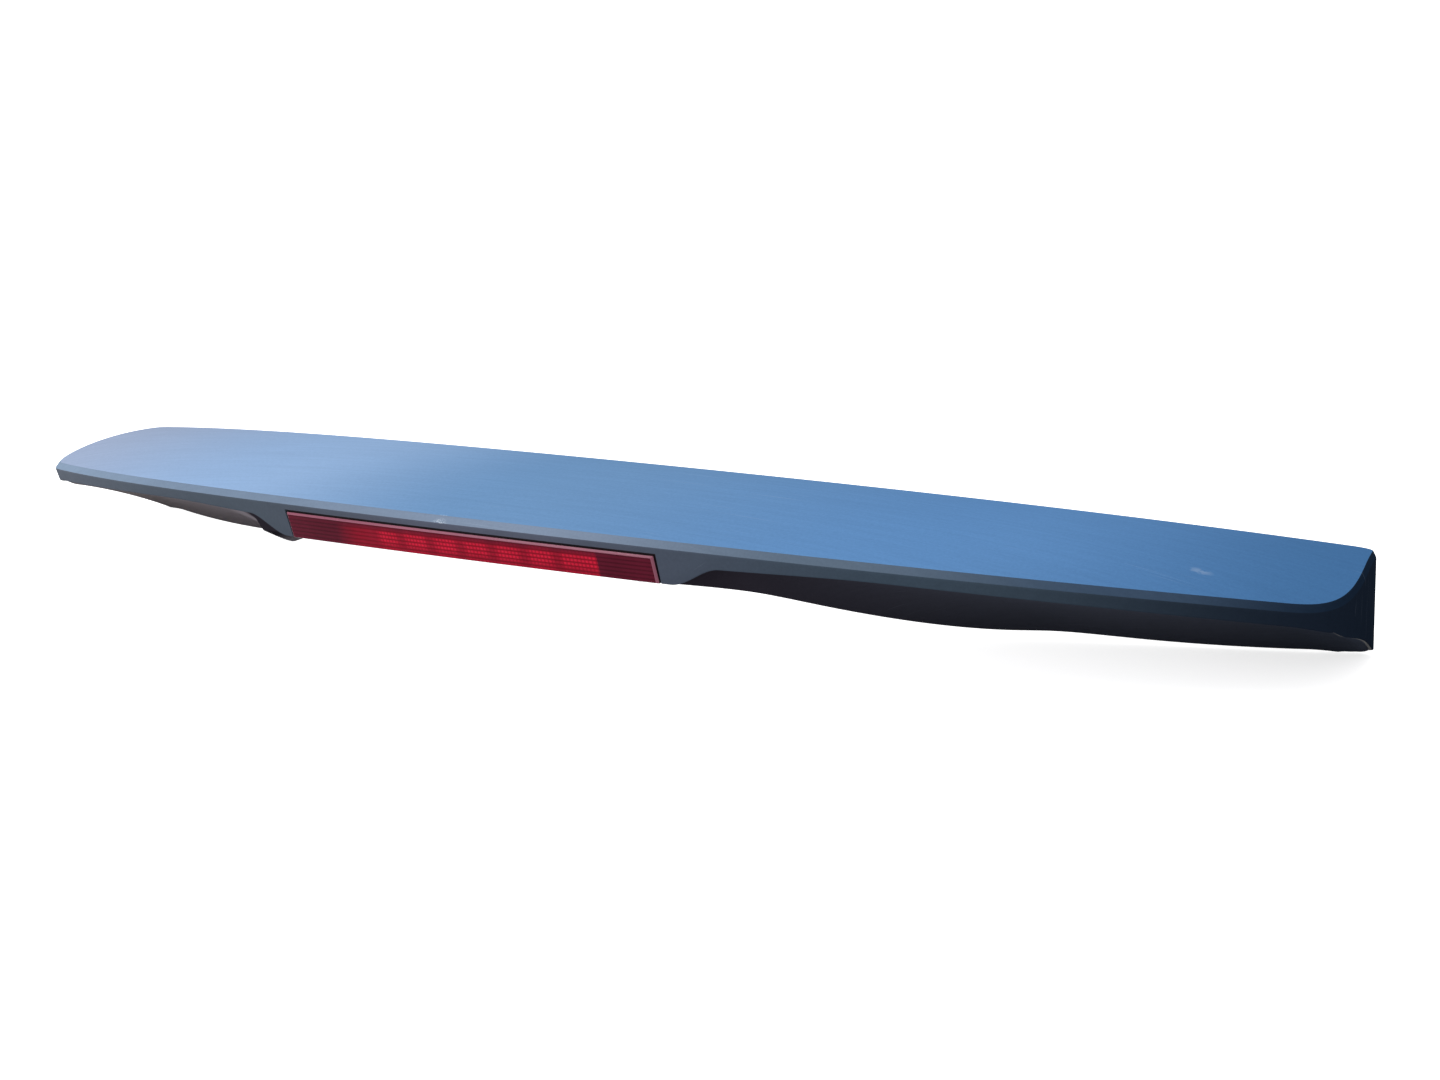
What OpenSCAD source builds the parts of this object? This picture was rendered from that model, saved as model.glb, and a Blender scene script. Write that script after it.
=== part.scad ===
// Car rear spoiler with a third stop lamp.
// X runs along the width, -Y is the trailing edge, +Y meets the tailgate, Z is up.
// Sections are written from the crease of the trailing lip at mid width, then moved to the stud origin.

/* [Wing plan and crown] */
// Half the width of the top skin, measured at the rear corners
wing_half = 584; // [450:1:700]
// Depth of the top skin at mid width
chord_mid = 172.6; // [120:1:260]
// How far the trailing lip sweeps forward by the ends
rear_sweep = 129.8; // [0:1:180]
// Extra sweep of the trailing lip that gathers near the ends
rear_sweep_tip = 24.7; // [0:1:60]
// How far the front edge sweeps forward by the ends
front_sweep = 88.3; // [0:1:150]
// Extra sweep of the front edge that gathers near the ends
front_sweep_tip = 1.7; // [0:0.1:40]
// How far the ends drop under mid width
crown = 38.6; // [0:1:70]
// Extra drop that gathers near the ends
crown_tip = 4.9; // [0:1:30]
// Rise of the front edge over the crease at the ends
front_rise = 5.5; // [0:0.1:15]
// Camber of the top skin between crease and front edge
camber = 5; // [0:0.5:12]
// Inward lean of the end line over its length
end_rake = 30.4; // [0:1:40]

/* [Rear corner, front corner and ends] */
// Distance from the rear corner at which its rounding starts along the lip
rear_corner_run = 42; // [15:1:80]
// Length of the rear corner rounding along the end line
rear_corner_rise = 60; // [20:1:75]
// Length of the front corner rounding
front_corner_run = 13; // [4:1:30]
// Height of the end face at the rear corner
end_rear_height = 21.9; // [12:0.1:40]
// Height of the end face at the front corner
end_front_height = 69.4; // [30:0.1:90]
// Inward lean of the end face for each millimetre of height
end_lean = 0.04; // [0:0.01:0.2]
// Length over which the underside runs out into the end face
end_blend = 22; // [10:1:120]
// Share of the chord that the foot of the rear wall reaches at the ends
end_foot = 0.82; // [0.3:0.01:0.9]
// Inset of the foot of the rear wall from the end line
end_inset = 2; // [1:0.5:6]
// Step of the lower shell under the end face
end_step = 3; // [1:0.5:6]

/* [Lip, bevel and skin] */
// Thickness of the moulded skins
wall = 3; // [2:0.1:5]
// Step of the bevel behind the crease
bevel_out = 4.6; // [2:0.1:10]
// Drop of the bevel under the crease
bevel_drop = 4.4; // [2:0.1:10]
// Height of the lip at mid width
lip_height = 11; // [8:0.5:20]
// Extra height of the lip by the ends
lip_growth = 3.6; // [0:0.1:8]
// Forward lean of the lip face for each millimetre of height
face_lean = 0.235; // [0:0.005:0.4]
// Rounding of the front edge
front_round = 1.2; // [0.6:0.1:2]
// Height of the flange along the front edge
flange_height = 12; // [8:0.5:20]
// Lap between skin and lower shell
lap = 2.6; // [1.5:0.1:5]

/* [Lower shell] */
// Greatest depth of the shell under the crease
shell_depth = 79.7; // [60:0.1:110]
// Depth of the shell under the lamp pod
pod_depth = 35.1; // [32:0.1:50]
// Station of the greatest depth, as a share of the half width
deep_station = 0.59; // [0.5:0.005:0.85]
// Spread of the deep part towards the pod, as a share of the half width
deep_rise = 0.268; // [0.2:0.001:0.9]
// Spread of the deep part towards the end
deep_spread = 0.8; // [0.4:0.01:1.2]
// Greatest share of the chord that the rear wall covers
wall_share = 0.99; // [0.5:0.01:1.2]
// Station from which the wall keeps that share
share_station = 0.706; // [0.5:0.001:0.95]
// Spread over which the wall comes to that share
share_spread = 0.338; // [0.2:0.001:0.9]
// Smallest share of the chord, under the lamp pod
pod_share = 0.12; // [0.1:0.01:0.4]
// Largest share of the chord that the foot of the rear wall may reach
foot_limit = 0.94; // [0.8:0.01:0.95]
// Hollow of the rear wall between lip and base
wall_hollow = 7; // [0:0.5:15]

/* [Lamp pod] */
// Half width of the pod face
pod_half = 181; // [165:1:240]
// Width of the flare from pod face to lip
pod_flare = 38; // [15:1:70]
// Extra height of the lip beside the pod
flare_tail = 4.5; // [0:0.5:10]
// Run over which that extra height fades
flare_tail_run = 150; // [60:5:250]
// Height of the pod face under the crease
pod_height = 30.2; // [28:0.5:40]

/* [Stop lamp] */
// Half length of the lens
lens_half = 165; // [120:1:175]
// Drop of the lens top under the crease
lens_top = 9.1; // [7:0.1:12]
// Drop of the lens bottom under the crease
lens_bottom = 30; // [24:0.1:31]
// How far the lens stands proud of the pod face
lens_proud = 1.4; // [0.3:0.1:3]
// Wall of the lens
lens_wall = 2.6; // [1.5:0.1:4]
// Depth of the lens from its face to its sealing edge
lens_depth = 8; // [5:0.5:12]
// Gap around the lens
lens_gap = 0.8; // [0.3:0.1:2]
// Chamfer around the lens face
lens_chamfer = 1.1; // [0.4:0.1:1.8]
// Thickness of the lamp gasket
gasket_t = 1.2; // [0.6:0.1:2]
// Depth of the housing behind the lens plane
housing_back = 34; // [28:0.5:45]
// Wall of the housing
housing_wall = 2; // [1.2:0.1:3]
// Play between housing and pod floor
housing_play = 0.3; // [0.1:0.1:1]
// Number of light emitting diodes
led_count = 7; // [4:1:11]
// Pitch of the diodes
led_pitch = 27.5; // [16:0.5:30]
// Size of one diode
led_size = 5; // [3:0.5:7]
// Height of one diode
led_height = 1.8; // [1:0.1:3]
// Clearance over and under the circuit board in the housing
board_play = 0.4; // [0.2:0.1:1]
// Gap between the circuit board and the back of the housing
standoff = 3.5; // [2:0.5:6]
// Thickness of the circuit board
board_t = 1.6; // [1:0.1:2]
// Depth of the reflector
reflector_depth = 11; // [6:0.5:14]
// Half thickness of the web between two reflector cells
cell_web = 0.9; // [0.5:0.1:3]
// Width of the lamp socket
socket_w = 10; // [8:0.5:14]
// Height of the lamp socket
socket_h = 8; // [6:0.5:9]
// Radius of the lamp screws
screw_r = 1.25; // [1:0.05:1.6]
// Station of each lamp screw
lamp_screw_x = 134; // [90:1:150]
// How far the seat of a lamp screw stands out of the pod floor
screw_rise = 0.4; // [0.3:0.1:1]

/* [Mounting] */
// Station of each inner stud, as a share of the half width
inner_stud_share = 0.257; // [0.2:0.001:0.4]
// Station of each outer stud, as a share of the half width
outer_stud_share = 0.685; // [0.5:0.001:0.8]
// Drop of the inner studs under the crease line
inner_stud_drop = 23.5; // [20:0.5:30]
// Drop of the outer studs under the crease line
outer_stud_drop = 46; // [28:0.5:60]
// Radius of the stud thread
stud_r = 3; // [2.5:0.5:5]
// How much thinner a stud is inside its insert, up to its shoulder
stud_step = 0.2; // [0.1:0.05:0.4]
// Length of stud outside its seat
stud_out = 20; // [12:1:35]
// Length of stud inside its insert
stud_in = 11; // [8:0.5:14]
// Radius of the threaded insert
insert_r = 5.2; // [4.5:0.1:6]
// Length of the threaded insert
insert_len = 13; // [9:0.5:18]
// Radius of the boss around an insert
boss_r = 9.5; // [8:0.1:12]
// Radial play of fitted round parts
play = 0.05; // [0.02:0.01:0.15]
// Gap under a soft part that follows a curved wall
seat_gap = 0.1; // [0.02:0.01:0.2]
// Radius of the foam seal at a stud
seal_r = 9; // [7:0.5:12]
// Thickness of the foam seal at a stud
seal_t = 3; // [2:0.5:6]
// Station of each locating pin, as a share of the half width
pin_share = 0.856; // [0.8:0.001:0.9]
// Radius of a locating pin
pin_r = 4; // [3:0.5:6]
// Length of a locating pin
pin_len = 12; // [8:1:20]
// Depth of a pin's foot behind its seat
pin_root = 12; // [8:1:16]
// Station of each rest pad, as a share of the half width
pad_share = 0.19; // [0.14:0.01:0.2]
// Radius of a rest pad
pad_r = 7; // [5:0.5:8]
// How far the seat of a rest pad stands out of the base
pad_rise = 1.2; // [1:0.1:2]
// Thickness of a rest pad
pad_t = 3; // [2:0.5:6]
// Radius of the wire grommet in the front wall
grommet_r = 8; // [6:0.5:10]
// Thickness of the edge seal strip
strip_t = 3; // [2:0.5:5]
// Height of the edge seal strip
strip_h = 6; // [4:0.5:9]

/* [Output] */
// Name of the sub-part to build, or all

/* [Hidden] */
$fn = 48;

painted = [0.30, 0.42, 0.58];
dark = [0.10, 0.12, 0.15];
red = [0.55, 0.04, 0.07, 0.85];
black = [0.05, 0.05, 0.06];
bright = [0.82, 0.82, 0.84];
brass = [0.78, 0.62, 0.30];
steel = [0.68, 0.70, 0.72];
green = [0.08, 0.30, 0.16];

// Share of the half width, squared
function share2(x) = pow(x / wing_half, 2);
function rear_y(x) = rear_sweep * share2(x) + rear_sweep_tip * pow(share2(x), 2);
function front_y(x) = chord_mid + front_sweep * share2(x) + front_sweep_tip * pow(share2(x), 2);
function crown_z(x) = -crown * share2(x) - crown_tip * pow(share2(x), 2);
function chord_at(p) = (p[1] - rear_y(p[0])) / (front_y(p[0]) - rear_y(p[0]));
function base_z(p) = crown_z(p[0]) + front_rise * share2(p[0]) * chord_at(p);
function top_z(p) = base_z(p) + 4 * camber * chord_at(p) * (1 - chord_at(p));
function lerp(a, b, t) = a + (b - a) * t;
function ease(t) = let (s = max(0, min(1, t))) s * s * (3 - 2 * s);
function soft_max(a, b, k) = (a + b + sqrt(pow(a - b, 2) + k * k)) / 2;
function soft_min(a, b, k) = -soft_max(-a, -b, k);
function arch(a, peak, station, spread) = peak * (1 - pow((station - a) / spread, 2));
function bezier(a, b, c, t) = a * pow(1 - t, 2) + b * 2 * t * (1 - t) + c * t * t;

// The end line runs from the rear corner to the front corner.
tip_y = rear_y(wing_half);
tip_len = front_y(wing_half) - tip_y;
function end_point(s) = [wing_half - end_rake * s / tip_len, tip_y + s];
function front_end_s() = front_y(wing_half - end_rake) - tip_y;

// Rounded outline of one half, as two runs of equally many points that meet on the end line.
pod_edge = pod_half + pod_flare;
rear_start = wing_half - rear_corner_run;
front_start = wing_half - end_rake - front_corner_run;
main_x = concat([for (i = [0 : 6]) i * (pod_half - 21) / 6],
                [for (i = [1 : 12]) lerp(pod_half - 21, pod_edge + 4, i / 12)],
                [for (i = [1 : 12]) lerp(pod_edge + 4, rear_start, i / 12)]);
last_main = len(main_x) - 1;
tip_steps = 10;
rear_p0 = [rear_start, rear_y(rear_start)];
rear_p1 = let (m = (rear_y(rear_start + 1) - rear_y(rear_start - 1)) / 2,
               r = end_rake / tip_len)
          let (t = (wing_half - r * (rear_p0[1] - tip_y) - rear_start) / (1 + r * m))
          rear_p0 + [t, m * t];
rear_p2 = end_point(rear_corner_rise);
front_p0 = [front_start, front_y(front_start)];
front_p1 = end_point(front_end_s());
front_p2 = end_point(front_end_s() - front_corner_run);
meet_rear = end_point(lerp(rear_corner_rise, front_end_s() - front_corner_run, 0.3));
meet_front = end_point(lerp(rear_corner_rise, front_end_s() - front_corner_run, 0.7));
front_main_end = front_start - front_corner_run;
rear_half = concat([for (x = main_x) [x, rear_y(x)]],
                   [for (k = [1 : 7]) bezier(rear_p0, rear_p1, rear_p2, k / 7)],
                   [for (k = [1 : 3]) lerp(rear_p2, meet_rear, k / 3)]);
function front_x(x) = x * lerp(1, front_main_end / rear_start, pow(x / rear_start, 2));
front_half = concat([for (x = main_x) [front_x(x), front_y(front_x(x))]],
                    [for (k = [1 : 3]) let (f = lerp(front_main_end, front_start, k / 3)) [f, front_y(f)]],
                    [for (k = [1 : 5]) bezier(front_p0, front_p1, front_p2, k / 5)],
                    [for (k = [1 : 2]) lerp(front_p2, meet_front, k / 2)]);
last = len(rear_half) - 1;

function unit(v) = v / norm(v);
function tangent(p, i) = i == 0 ? [1, 0] : unit(p[min(i + 1, last)] - p[i - 1]);
function rear_out(i) = let (t = tangent(rear_half, i)) [t[1], -t[0]];
function front_out(i) = let (t = tangent(front_half, i)) [-t[1], t[0]];

// Heights along the lip, the flange and the base.
function end_reach(x) = ease((x - rear_start + end_blend) / (end_blend + 45));
function end_share(i) = i <= last_main ? end_reach(rear_half[i][0]) :
                        lerp(end_reach(rear_start), 1, ease((i - last_main) / 6));
function front_share(i) = ease((i - last_main - 2) / 5);
function end_drop(p) = lerp(end_rear_height, end_front_height, max(0, (p[1] - tip_y) / front_end_s()));
function pod_at(x) = 1 - ease((abs(x) - pod_half) / pod_flare);
function flare_at(x) = flare_tail * (1 - ease((abs(x) - pod_half) / flare_tail_run));
function lip_plain(x) = lerp(lip_height + lip_growth * share2(x) + flare_at(x), pod_height, pod_at(x));
function lip_at(i) = lerp(lip_plain(rear_half[i][0]), end_drop(rear_half[i]), ease((i - last_main) / 4));
function flange_at(i) = lerp(flange_height, end_drop(front_half[i]), front_share(i));
function depth_at(a) = let (w = a < deep_station ? deep_rise : deep_spread)
                       soft_max(pod_depth, arch(a, shell_depth, deep_station, w), 4);
function share_at(a) = let (s = arch(min(a, share_station), wall_share, share_station, share_spread))
                       soft_min(foot_limit, soft_max(pod_share, s, 0.04), 0.06);
function base_at(i, p) = lerp(crown_z(p[0]) - depth_at(rear_half[i][0] / wing_half),
                              top_z(p) - end_drop(p) - end_step, end_share(i));

// Points of the skin at outline place i: outer face when t is 0, inner face when t is wall.
function lean_at(i) = lerp(face_lean, end_lean, ease((i - last_main) / 7));
function face_out(i, h, t) = bevel_out - t - lean_at(i) * (h - bevel_drop);
function front_bevel(i) = lerp(front_round, bevel_out, front_share(i));
function front_drop(i) = lerp(front_round, bevel_drop, front_share(i));
function flange_out(i, h, t) = front_bevel(i) - t - end_lean * front_share(i) * (h - front_drop(i));
function rear_pt(i, out, z) = let (p = rear_half[i], q = p + rear_out(i) * out) [q[0], q[1], top_z(p) + z];
function front_pt(i, out, z) = let (p = front_half[i], q = p + front_out(i) * out) [q[0], q[1], top_z(p) + z];
function top_pt(i, v, t) = let (p = lerp(rear_half[i], front_half[i], v)) [p[0], p[1], top_z(p) - t];

function skin_row(i, t) = let (h = lip_at(i), f = flange_at(i), k = t / wall)
    [front_pt(i, flange_out(i, f, t), -f),
     front_pt(i, flange_out(i, f - lap, t), lap - f),
     front_pt(i, front_bevel(i) - t, -front_drop(i) - 0.45 * t),
     front_pt(i, -0.45 * t, -t),
     top_pt(i, lerp(0.86, 0.82, k), t),
     top_pt(i, 0.64, t),
     top_pt(i, 0.4, t),
     top_pt(i, lerp(0.16, 0.2, k), t),
     rear_pt(i, -0.45 * t, -t),
     rear_pt(i, bevel_out - t, -bevel_drop - 0.45 * t),
     rear_pt(i, face_out(i, h - lap, t), lap - h),
     rear_pt(i, face_out(i, h, t), -h)];

// Points of the lower shell: outer face when t is 0, inner face when t is wall.
function foot_at(i) = let (v = lerp(share_at(rear_half[i][0] / wing_half), end_foot, end_share(i)))
                      lerp(rear_half[i], front_half[i], v) - rear_out(i) * end_inset * end_share(i);
function hollow_at(i) = wall_hollow * (1 - pod_at(rear_half[i][0])) * (1 - end_share(i));
function shell_row(i, t) =
    let (h = lip_at(i),
         f = flange_at(i),
         p = foot_at(i),
         w = wall + play,
         a = rear_pt(i, face_out(i, h, w + t), t - h),
         c = [p[0], p[1] + 0.2 * t, base_at(i, p) + t],
         q = front_pt(i, flange_out(i, f, w + t), 0),
         g = [q[0], q[1], base_at(i, front_half[i]) + t],
         e = front_pt(i, flange_out(i, f, w + t), -f))
    [rear_pt(i, face_out(i, h - lap, w + t * 0.35), lap - h + t * 0.9),
     a,
     lerp(a, c, 0.33) + [0, 0, hollow_at(i)],
     lerp(a, c, 0.67) + [0, 0, hollow_at(i) * 0.8],
     c,
     g,
     lerp(g, e, 0.4),
     lerp(g, e, 0.8),
     e,
     front_pt(i, flange_out(i, f - lap, w + t), lap - f)];

// A thin shell lofted through rows of points, mirrored to the left, and closed at both ends by a ladder
// of faces between its rear and its front side.
function mirrored(rows) = concat([for (i = [len(rows) - 1 : -1 : 1]) [for (p = rows[i]) [-p[0], p[1], p[2]]]],
                                 rows);
module loft_shell(outer, inner) {
    rows_o = mirrored(outer);
    rows_i = mirrored(inner);
    n = len(rows_o);
    m = len(rows_o[0]);
    pts = concat([for (r = rows_o) for (p = r) p], [for (r = rows_i) for (p = r) p]);
    o = n * m;
    sides = [for (j = [0 : n - 2]) for (k = [0 : m - 2]) let (a = j * m + k, b = a + m)
             each [[a, b, b + 1], [a, b + 1, a + 1],
                   [o + a, o + b + 1, o + b], [o + a, o + a + 1, o + b + 1]]];
    rims = [for (j = [0 : n - 2]) let (a = j * m, b = a + m, c = a + m - 1, d = b + m - 1)
            each [[a, o + b, b], [a, o + a, o + b], [c, d, o + d], [c, o + d, o + c]]];
    ends = [for (s = [0, 1]) let (j = s * (n - 1) * m) for (k = [0 : m / 2 - 2])
            let (a = j + k, b = j + m - 1 - k,
                 q = [[a, b, b - 1], [a, b - 1, a + 1],
                      [o + a, o + b - 1, o + b], [o + a, o + a + 1, o + b - 1]])
            each (s == 1 ? q : [for (t = q) [t[2], t[1], t[0]]])];
    foot = [for (s = [0, 1]) let (a = s * (n - 1) * m, b = a + m - 1, q = [[a, o + b, b], [a, o + a, o + b]])
            each (s == 1 ? q : [for (t = q) [t[2], t[1], t[0]]])];
    polyhedron(points = pts, faces = concat(sides, rims, ends, foot), convexity = 10);
}

// A solid bar lofted through rows of points and mirrored to the left.
module loft_bar(rows) {
    all_rows = mirrored(rows);
    n = len(all_rows);
    m = len(all_rows[0]);
    sides = [for (j = [0 : n - 2]) for (k = [0 : m - 1]) let (a = j * m + k, b = j * m + (k + 1) % m)
             each [[a, b, b + m], [a, b + m, a + m]]];
    ends = [[for (k = [m - 1 : -1 : 0]) k], [for (k = [0 : m - 1]) (n - 1) * m + k]];
    polyhedron(points = [for (r = all_rows) for (p = r) p], faces = concat(sides, ends), convexity = 6);
}

// A solid bar that follows the crease from -x1 to x1, with a section in Y and Z.
module crease_bar(section, x1, steps) {
    m = len(section);
    pts = [for (j = [0 : steps]) let (x = lerp(-x1, x1, j / steps)) for (s = section)
           [x, rear_y(x) + s[0], crown_z(x) + s[1]]];
    sides = [for (j = [0 : steps - 1]) for (k = [0 : m - 1])
             let (a = j * m + k, b = j * m + (k + 1) % m)
             each [[a, b, b + m], [a, b + m, a + m]]];
    polyhedron(points = pts, faces = concat([[for (k = [m - 1 : -1 : 0]) k]], sides,
               [[for (k = [0 : m - 1]) steps * m + k]]), convexity = 6);
}

// Lamp sections: y grows inwards from the lens face plane at height z.
function lens_y(z) = face_lean * (-z - bevel_drop) - bevel_out - lens_proud;
function lamp_slab(z0, z1, d0, d1) = [[lens_y(z0) + d0, z0], [lens_y(z0) + d1, z0],
                                      [lens_y(z1) + d1, z1], [lens_y(z1) + d0, z1]];
function lamp_box(z0, z1, d0, y1) = [[lens_y(z0) + d0, z0], [y1, z0], [y1, z1], [lens_y(z1) + d0, z1]];
housing_front = lens_depth + gasket_t;
floor_z = -pod_height + wall;
housing_low = floor_z + housing_play;
cavity_top = -lens_top - housing_wall;
cavity_low = housing_low + housing_wall;
lamp_steps = 24;

// The board is straight, so it takes the height that stays free over its whole length.
reflector_half = led_count * led_pitch / 2;
socket_x = reflector_half + 12;
board_half = socket_x + 8;
board_mid = (cavity_top + crown_z(board_half) + cavity_low) / 2;
board_height = cavity_top + crown_z(board_half) - cavity_low - 2 * board_play;
board_y = housing_back - housing_wall - standoff;
led_y = board_y - board_t;
cell_mouth = [led_pitch / 2 - cell_web, board_height / 2 - 0.4];
cell_foot = [led_size * 0.9, led_size * 0.75];
socket_len = housing_back + rear_y(socket_x) - board_y + 3;
screw_boss = 6;
screw_y = rear_y(lamp_screw_x) + housing_back - 9;
screw_z = crown_z(lamp_screw_x) - pod_depth - screw_rise;

// Seats of the studs on the front wall, at whole millimetres of the width.
inner_stud_x = round(wing_half * inner_stud_share);
outer_stud_x = round(wing_half * outer_stud_share);
pin_x = round(wing_half * pin_share);
pad_x = round(wing_half * pad_share);
function seat_y(x) = front_y(x) + front_round;
stud_places = [[-outer_stud_x, outer_stud_drop], [-inner_stud_x, inner_stud_drop],
               [inner_stud_x, inner_stud_drop], [outer_stud_x, outer_stud_drop]];
origin = [0, seat_y(inner_stud_x), crown_z(inner_stud_x) - inner_stud_drop];
module in_frame() translate(-origin) children();
module facing_front() rotate([-90, 0, 0]) children();
module at_studs() for (s = stud_places)
    translate([s[0], seat_y(s[0]), crown_z(s[0]) - s[1]]) facing_front() children();
module at_lamp_screws() for (s = [-1, 1]) translate([s * lamp_screw_x, screw_y, screw_z]) children();
module at_leds() for (i = [0 : led_count - 1])
    translate([(i - (led_count - 1) / 2) * led_pitch, led_y, board_mid]) children();
module at_pads() for (s = [-1, 1]) translate([s * pad_x, pad_y, pad_z]) children();
module at_pins() for (s = [-1, 1]) translate([s * pin_x, seat_y(pin_x), pin_z]) facing_front() children();
module at_socket_pins() for (s = [-1, 1])
    translate([socket_x + s * socket_w / 4, board_y, board_mid]) facing_front() children();
pin_z = crown_z(pin_x) - outer_stud_drop;
pad_y = front_y(pad_x) - wall - pad_r - 1.5;
pad_z = crown_z(pad_x) - depth_at(pad_x / wing_half) - pad_rise;
grommet_z = -(flange_height + pod_depth) / 2;
grommet_out = front_y(0) + front_round - wall;

// A block centred on X and Z that starts at Y = 0.
module block(x, y, z) translate([-x / 2, 0, -z / 2]) cube([x, y, z]);

module lamp_opening() {
    back = lens_y(-lens_bottom) + housing_front + 0.2;
    under = -pod_height - 12;
    crease_bar([[-30, lens_gap - lens_top], [back, lens_gap - lens_top], [back, under], [-30, under]],
               lens_half + lens_gap, lamp_steps);
}

module upper_skin() color(painted) in_frame() difference() {
    loft_shell([for (i = [0 : last]) skin_row(i, 0)], [for (i = [0 : last]) skin_row(i, wall)]);
    lamp_opening();
}

module lower_shell() color(dark) in_frame() difference() {
    union() {
        loft_shell([for (i = [0 : last]) shell_row(i, 0)], [for (i = [0 : last]) shell_row(i, wall)]);
        at_studs() translate([0, 0, -insert_len - 4]) cylinder(r = boss_r, h = insert_len + 4);
        at_pins() translate([0, 0, -pin_root]) {
            cylinder(r = pin_r + wall, h = pin_root);
            cylinder(r = pin_r, h = pin_root + pin_len);
        }
        at_pads() cylinder(r = pad_r + 1, h = 6);
        at_lamp_screws() cylinder(r = 5, h = screw_boss);
    }
    at_studs() translate([0, 0, -insert_len]) cylinder(r = insert_r + play, h = insert_len + 1);
    at_lamp_screws() translate([0, 0, -1]) cylinder(r = screw_r + 0.35, h = screw_boss + 2);
    translate([0, grommet_out - wall - 4, grommet_z]) facing_front() cylinder(r = grommet_r, h = wall + 8);
    lamp_opening();
}

module lamp_lens() color(red) in_frame() difference() {
    crease_bar([[lens_y(-lens_top) + lens_chamfer, -lens_top],
                [lens_y(-lens_top) + lens_depth, -lens_top],
                [lens_y(-lens_bottom) + lens_depth, -lens_bottom],
                [lens_y(-lens_bottom) + lens_chamfer, -lens_bottom],
                [lens_y(lens_chamfer - lens_bottom), lens_chamfer - lens_bottom],
                [lens_y(-lens_top - lens_chamfer), -lens_top - lens_chamfer]], lens_half, lamp_steps);
    crease_bar(lamp_slab(-lens_top - lens_wall, lens_wall - lens_bottom, lens_wall, lens_depth + 1),
               lens_half - lens_wall, lamp_steps);
}

module lamp_gasket() color(black) in_frame() difference() {
    crease_bar(lamp_slab(-lens_top, -lens_bottom, lens_depth, housing_front), lens_half, lamp_steps);
    crease_bar(lamp_slab(cavity_top, cavity_low, lens_depth - 1, housing_front + 1),
               lens_half - lens_wall, lamp_steps);
}

module lamp_housing() color(black) in_frame() difference() {
    union() {
        difference() {
            crease_bar(lamp_box(-lens_top, housing_low, housing_front, housing_back),
                       lens_half, lamp_steps);
            crease_bar(lamp_box(cavity_top, cavity_low, housing_front - 1, housing_back - housing_wall),
                       lens_half - housing_wall, lamp_steps);
        }
        for (k = [-3 : 2 : 3]) let (x = k * reflector_half / 4)
            translate([x, board_y, board_mid]) facing_front() cylinder(r = 2.2, h = standoff + rear_y(x) + 1);
        at_lamp_screws() translate([0, 0, screw_boss]) cylinder(r = 4, h = 9);
    }
    at_lamp_screws() translate([0, 0, screw_boss - 1]) cylinder(r = screw_r + play, h = 8);
    translate([socket_x, housing_back - housing_wall, board_mid]) block(socket_w + 2 * housing_play,
        housing_wall + rear_y(socket_x) + 2, socket_h + 2 * housing_play);
}

// A hollow with four flat flanks, from half sizes a at y0 to half sizes b at y1.
module reflector_cell(a, b, y0, y1) polyhedron(
    points = [[-a[0], y0, -a[1]], [a[0], y0, -a[1]], [a[0], y0, a[1]], [-a[0], y0, a[1]],
              [-b[0], y1, -b[1]], [b[0], y1, -b[1]], [b[0], y1, b[1]], [-b[0], y1, b[1]]],
    faces = [[0, 1, 2, 3], [4, 7, 6, 5], [0, 4, 5, 1], [1, 5, 6, 2], [2, 6, 7, 3], [3, 7, 4, 0]]);

module lamp_reflector() color(bright) in_frame() difference() {
    translate([0, led_y - reflector_depth, board_mid])
        block(2 * reflector_half, reflector_depth, board_height);
    at_leds() reflector_cell(cell_foot, cell_mouth, 0.01, -reflector_depth - 0.01);
}

module led_board() color(green) in_frame() translate([0, led_y, board_mid])
    block(2 * board_half, board_t, board_height);

module leds() color(bright) in_frame() at_leds() translate([0, -led_height, 0])
    block(led_size, led_height, led_size);

module board_socket() color(black) in_frame() difference() {
    translate([socket_x, board_y, board_mid]) block(socket_w, socket_len, socket_h);
    translate([socket_x, board_y + 5, board_mid]) block(socket_w - 2, socket_len, socket_h - 2);
    at_socket_pins() translate([0, 0, -1]) cylinder(r = 0.5, h = 8);
}

module socket_pins() color(brass) in_frame() at_socket_pins() cylinder(r = 0.5, h = socket_len - 2);

module lamp_screws() color(steel) in_frame() at_lamp_screws() {
    cylinder(r = screw_r, h = screw_boss + 6);
    difference() {
        translate([0, 0, -2]) cylinder(r = 3.1, h = 2);
        translate([0, 0, -3]) cylinder(r = 1.2, h = 2);
    }
}

module mounting_studs() color(steel) in_frame() at_studs() {
    translate([0, 0, -stud_in]) cylinder(r = stud_r - stud_step, h = stud_in + 1);
    cylinder(r = stud_r, h = stud_out);
}

module stud_inserts() color(brass) in_frame() at_studs() difference() {
    translate([0, 0, -insert_len]) cylinder(r = insert_r, h = insert_len);
    translate([0, 0, -stud_in]) cylinder(r = stud_r - stud_step + play, h = stud_in + 1);
}

module stud_seals() color(black) in_frame() at_studs() difference() {
    cylinder(r = seal_r, h = seal_t);
    translate([0, 0, -1]) cylinder(r = insert_r, h = seal_t + 2);
}

module wire_grommet() color(black) in_frame() translate([0, grommet_out, grommet_z]) facing_front()
    rotate_extrude() polygon([[0, -wall - 1], [grommet_r - play, -wall - 1], [grommet_r - play, seat_gap],
                              [grommet_r + 2.5, seat_gap], [grommet_r + 2.5, 1.6], [grommet_r - 2, 2.6],
                              [3, 2.6], [2, 1.2], [0, 1.2]]);

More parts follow.
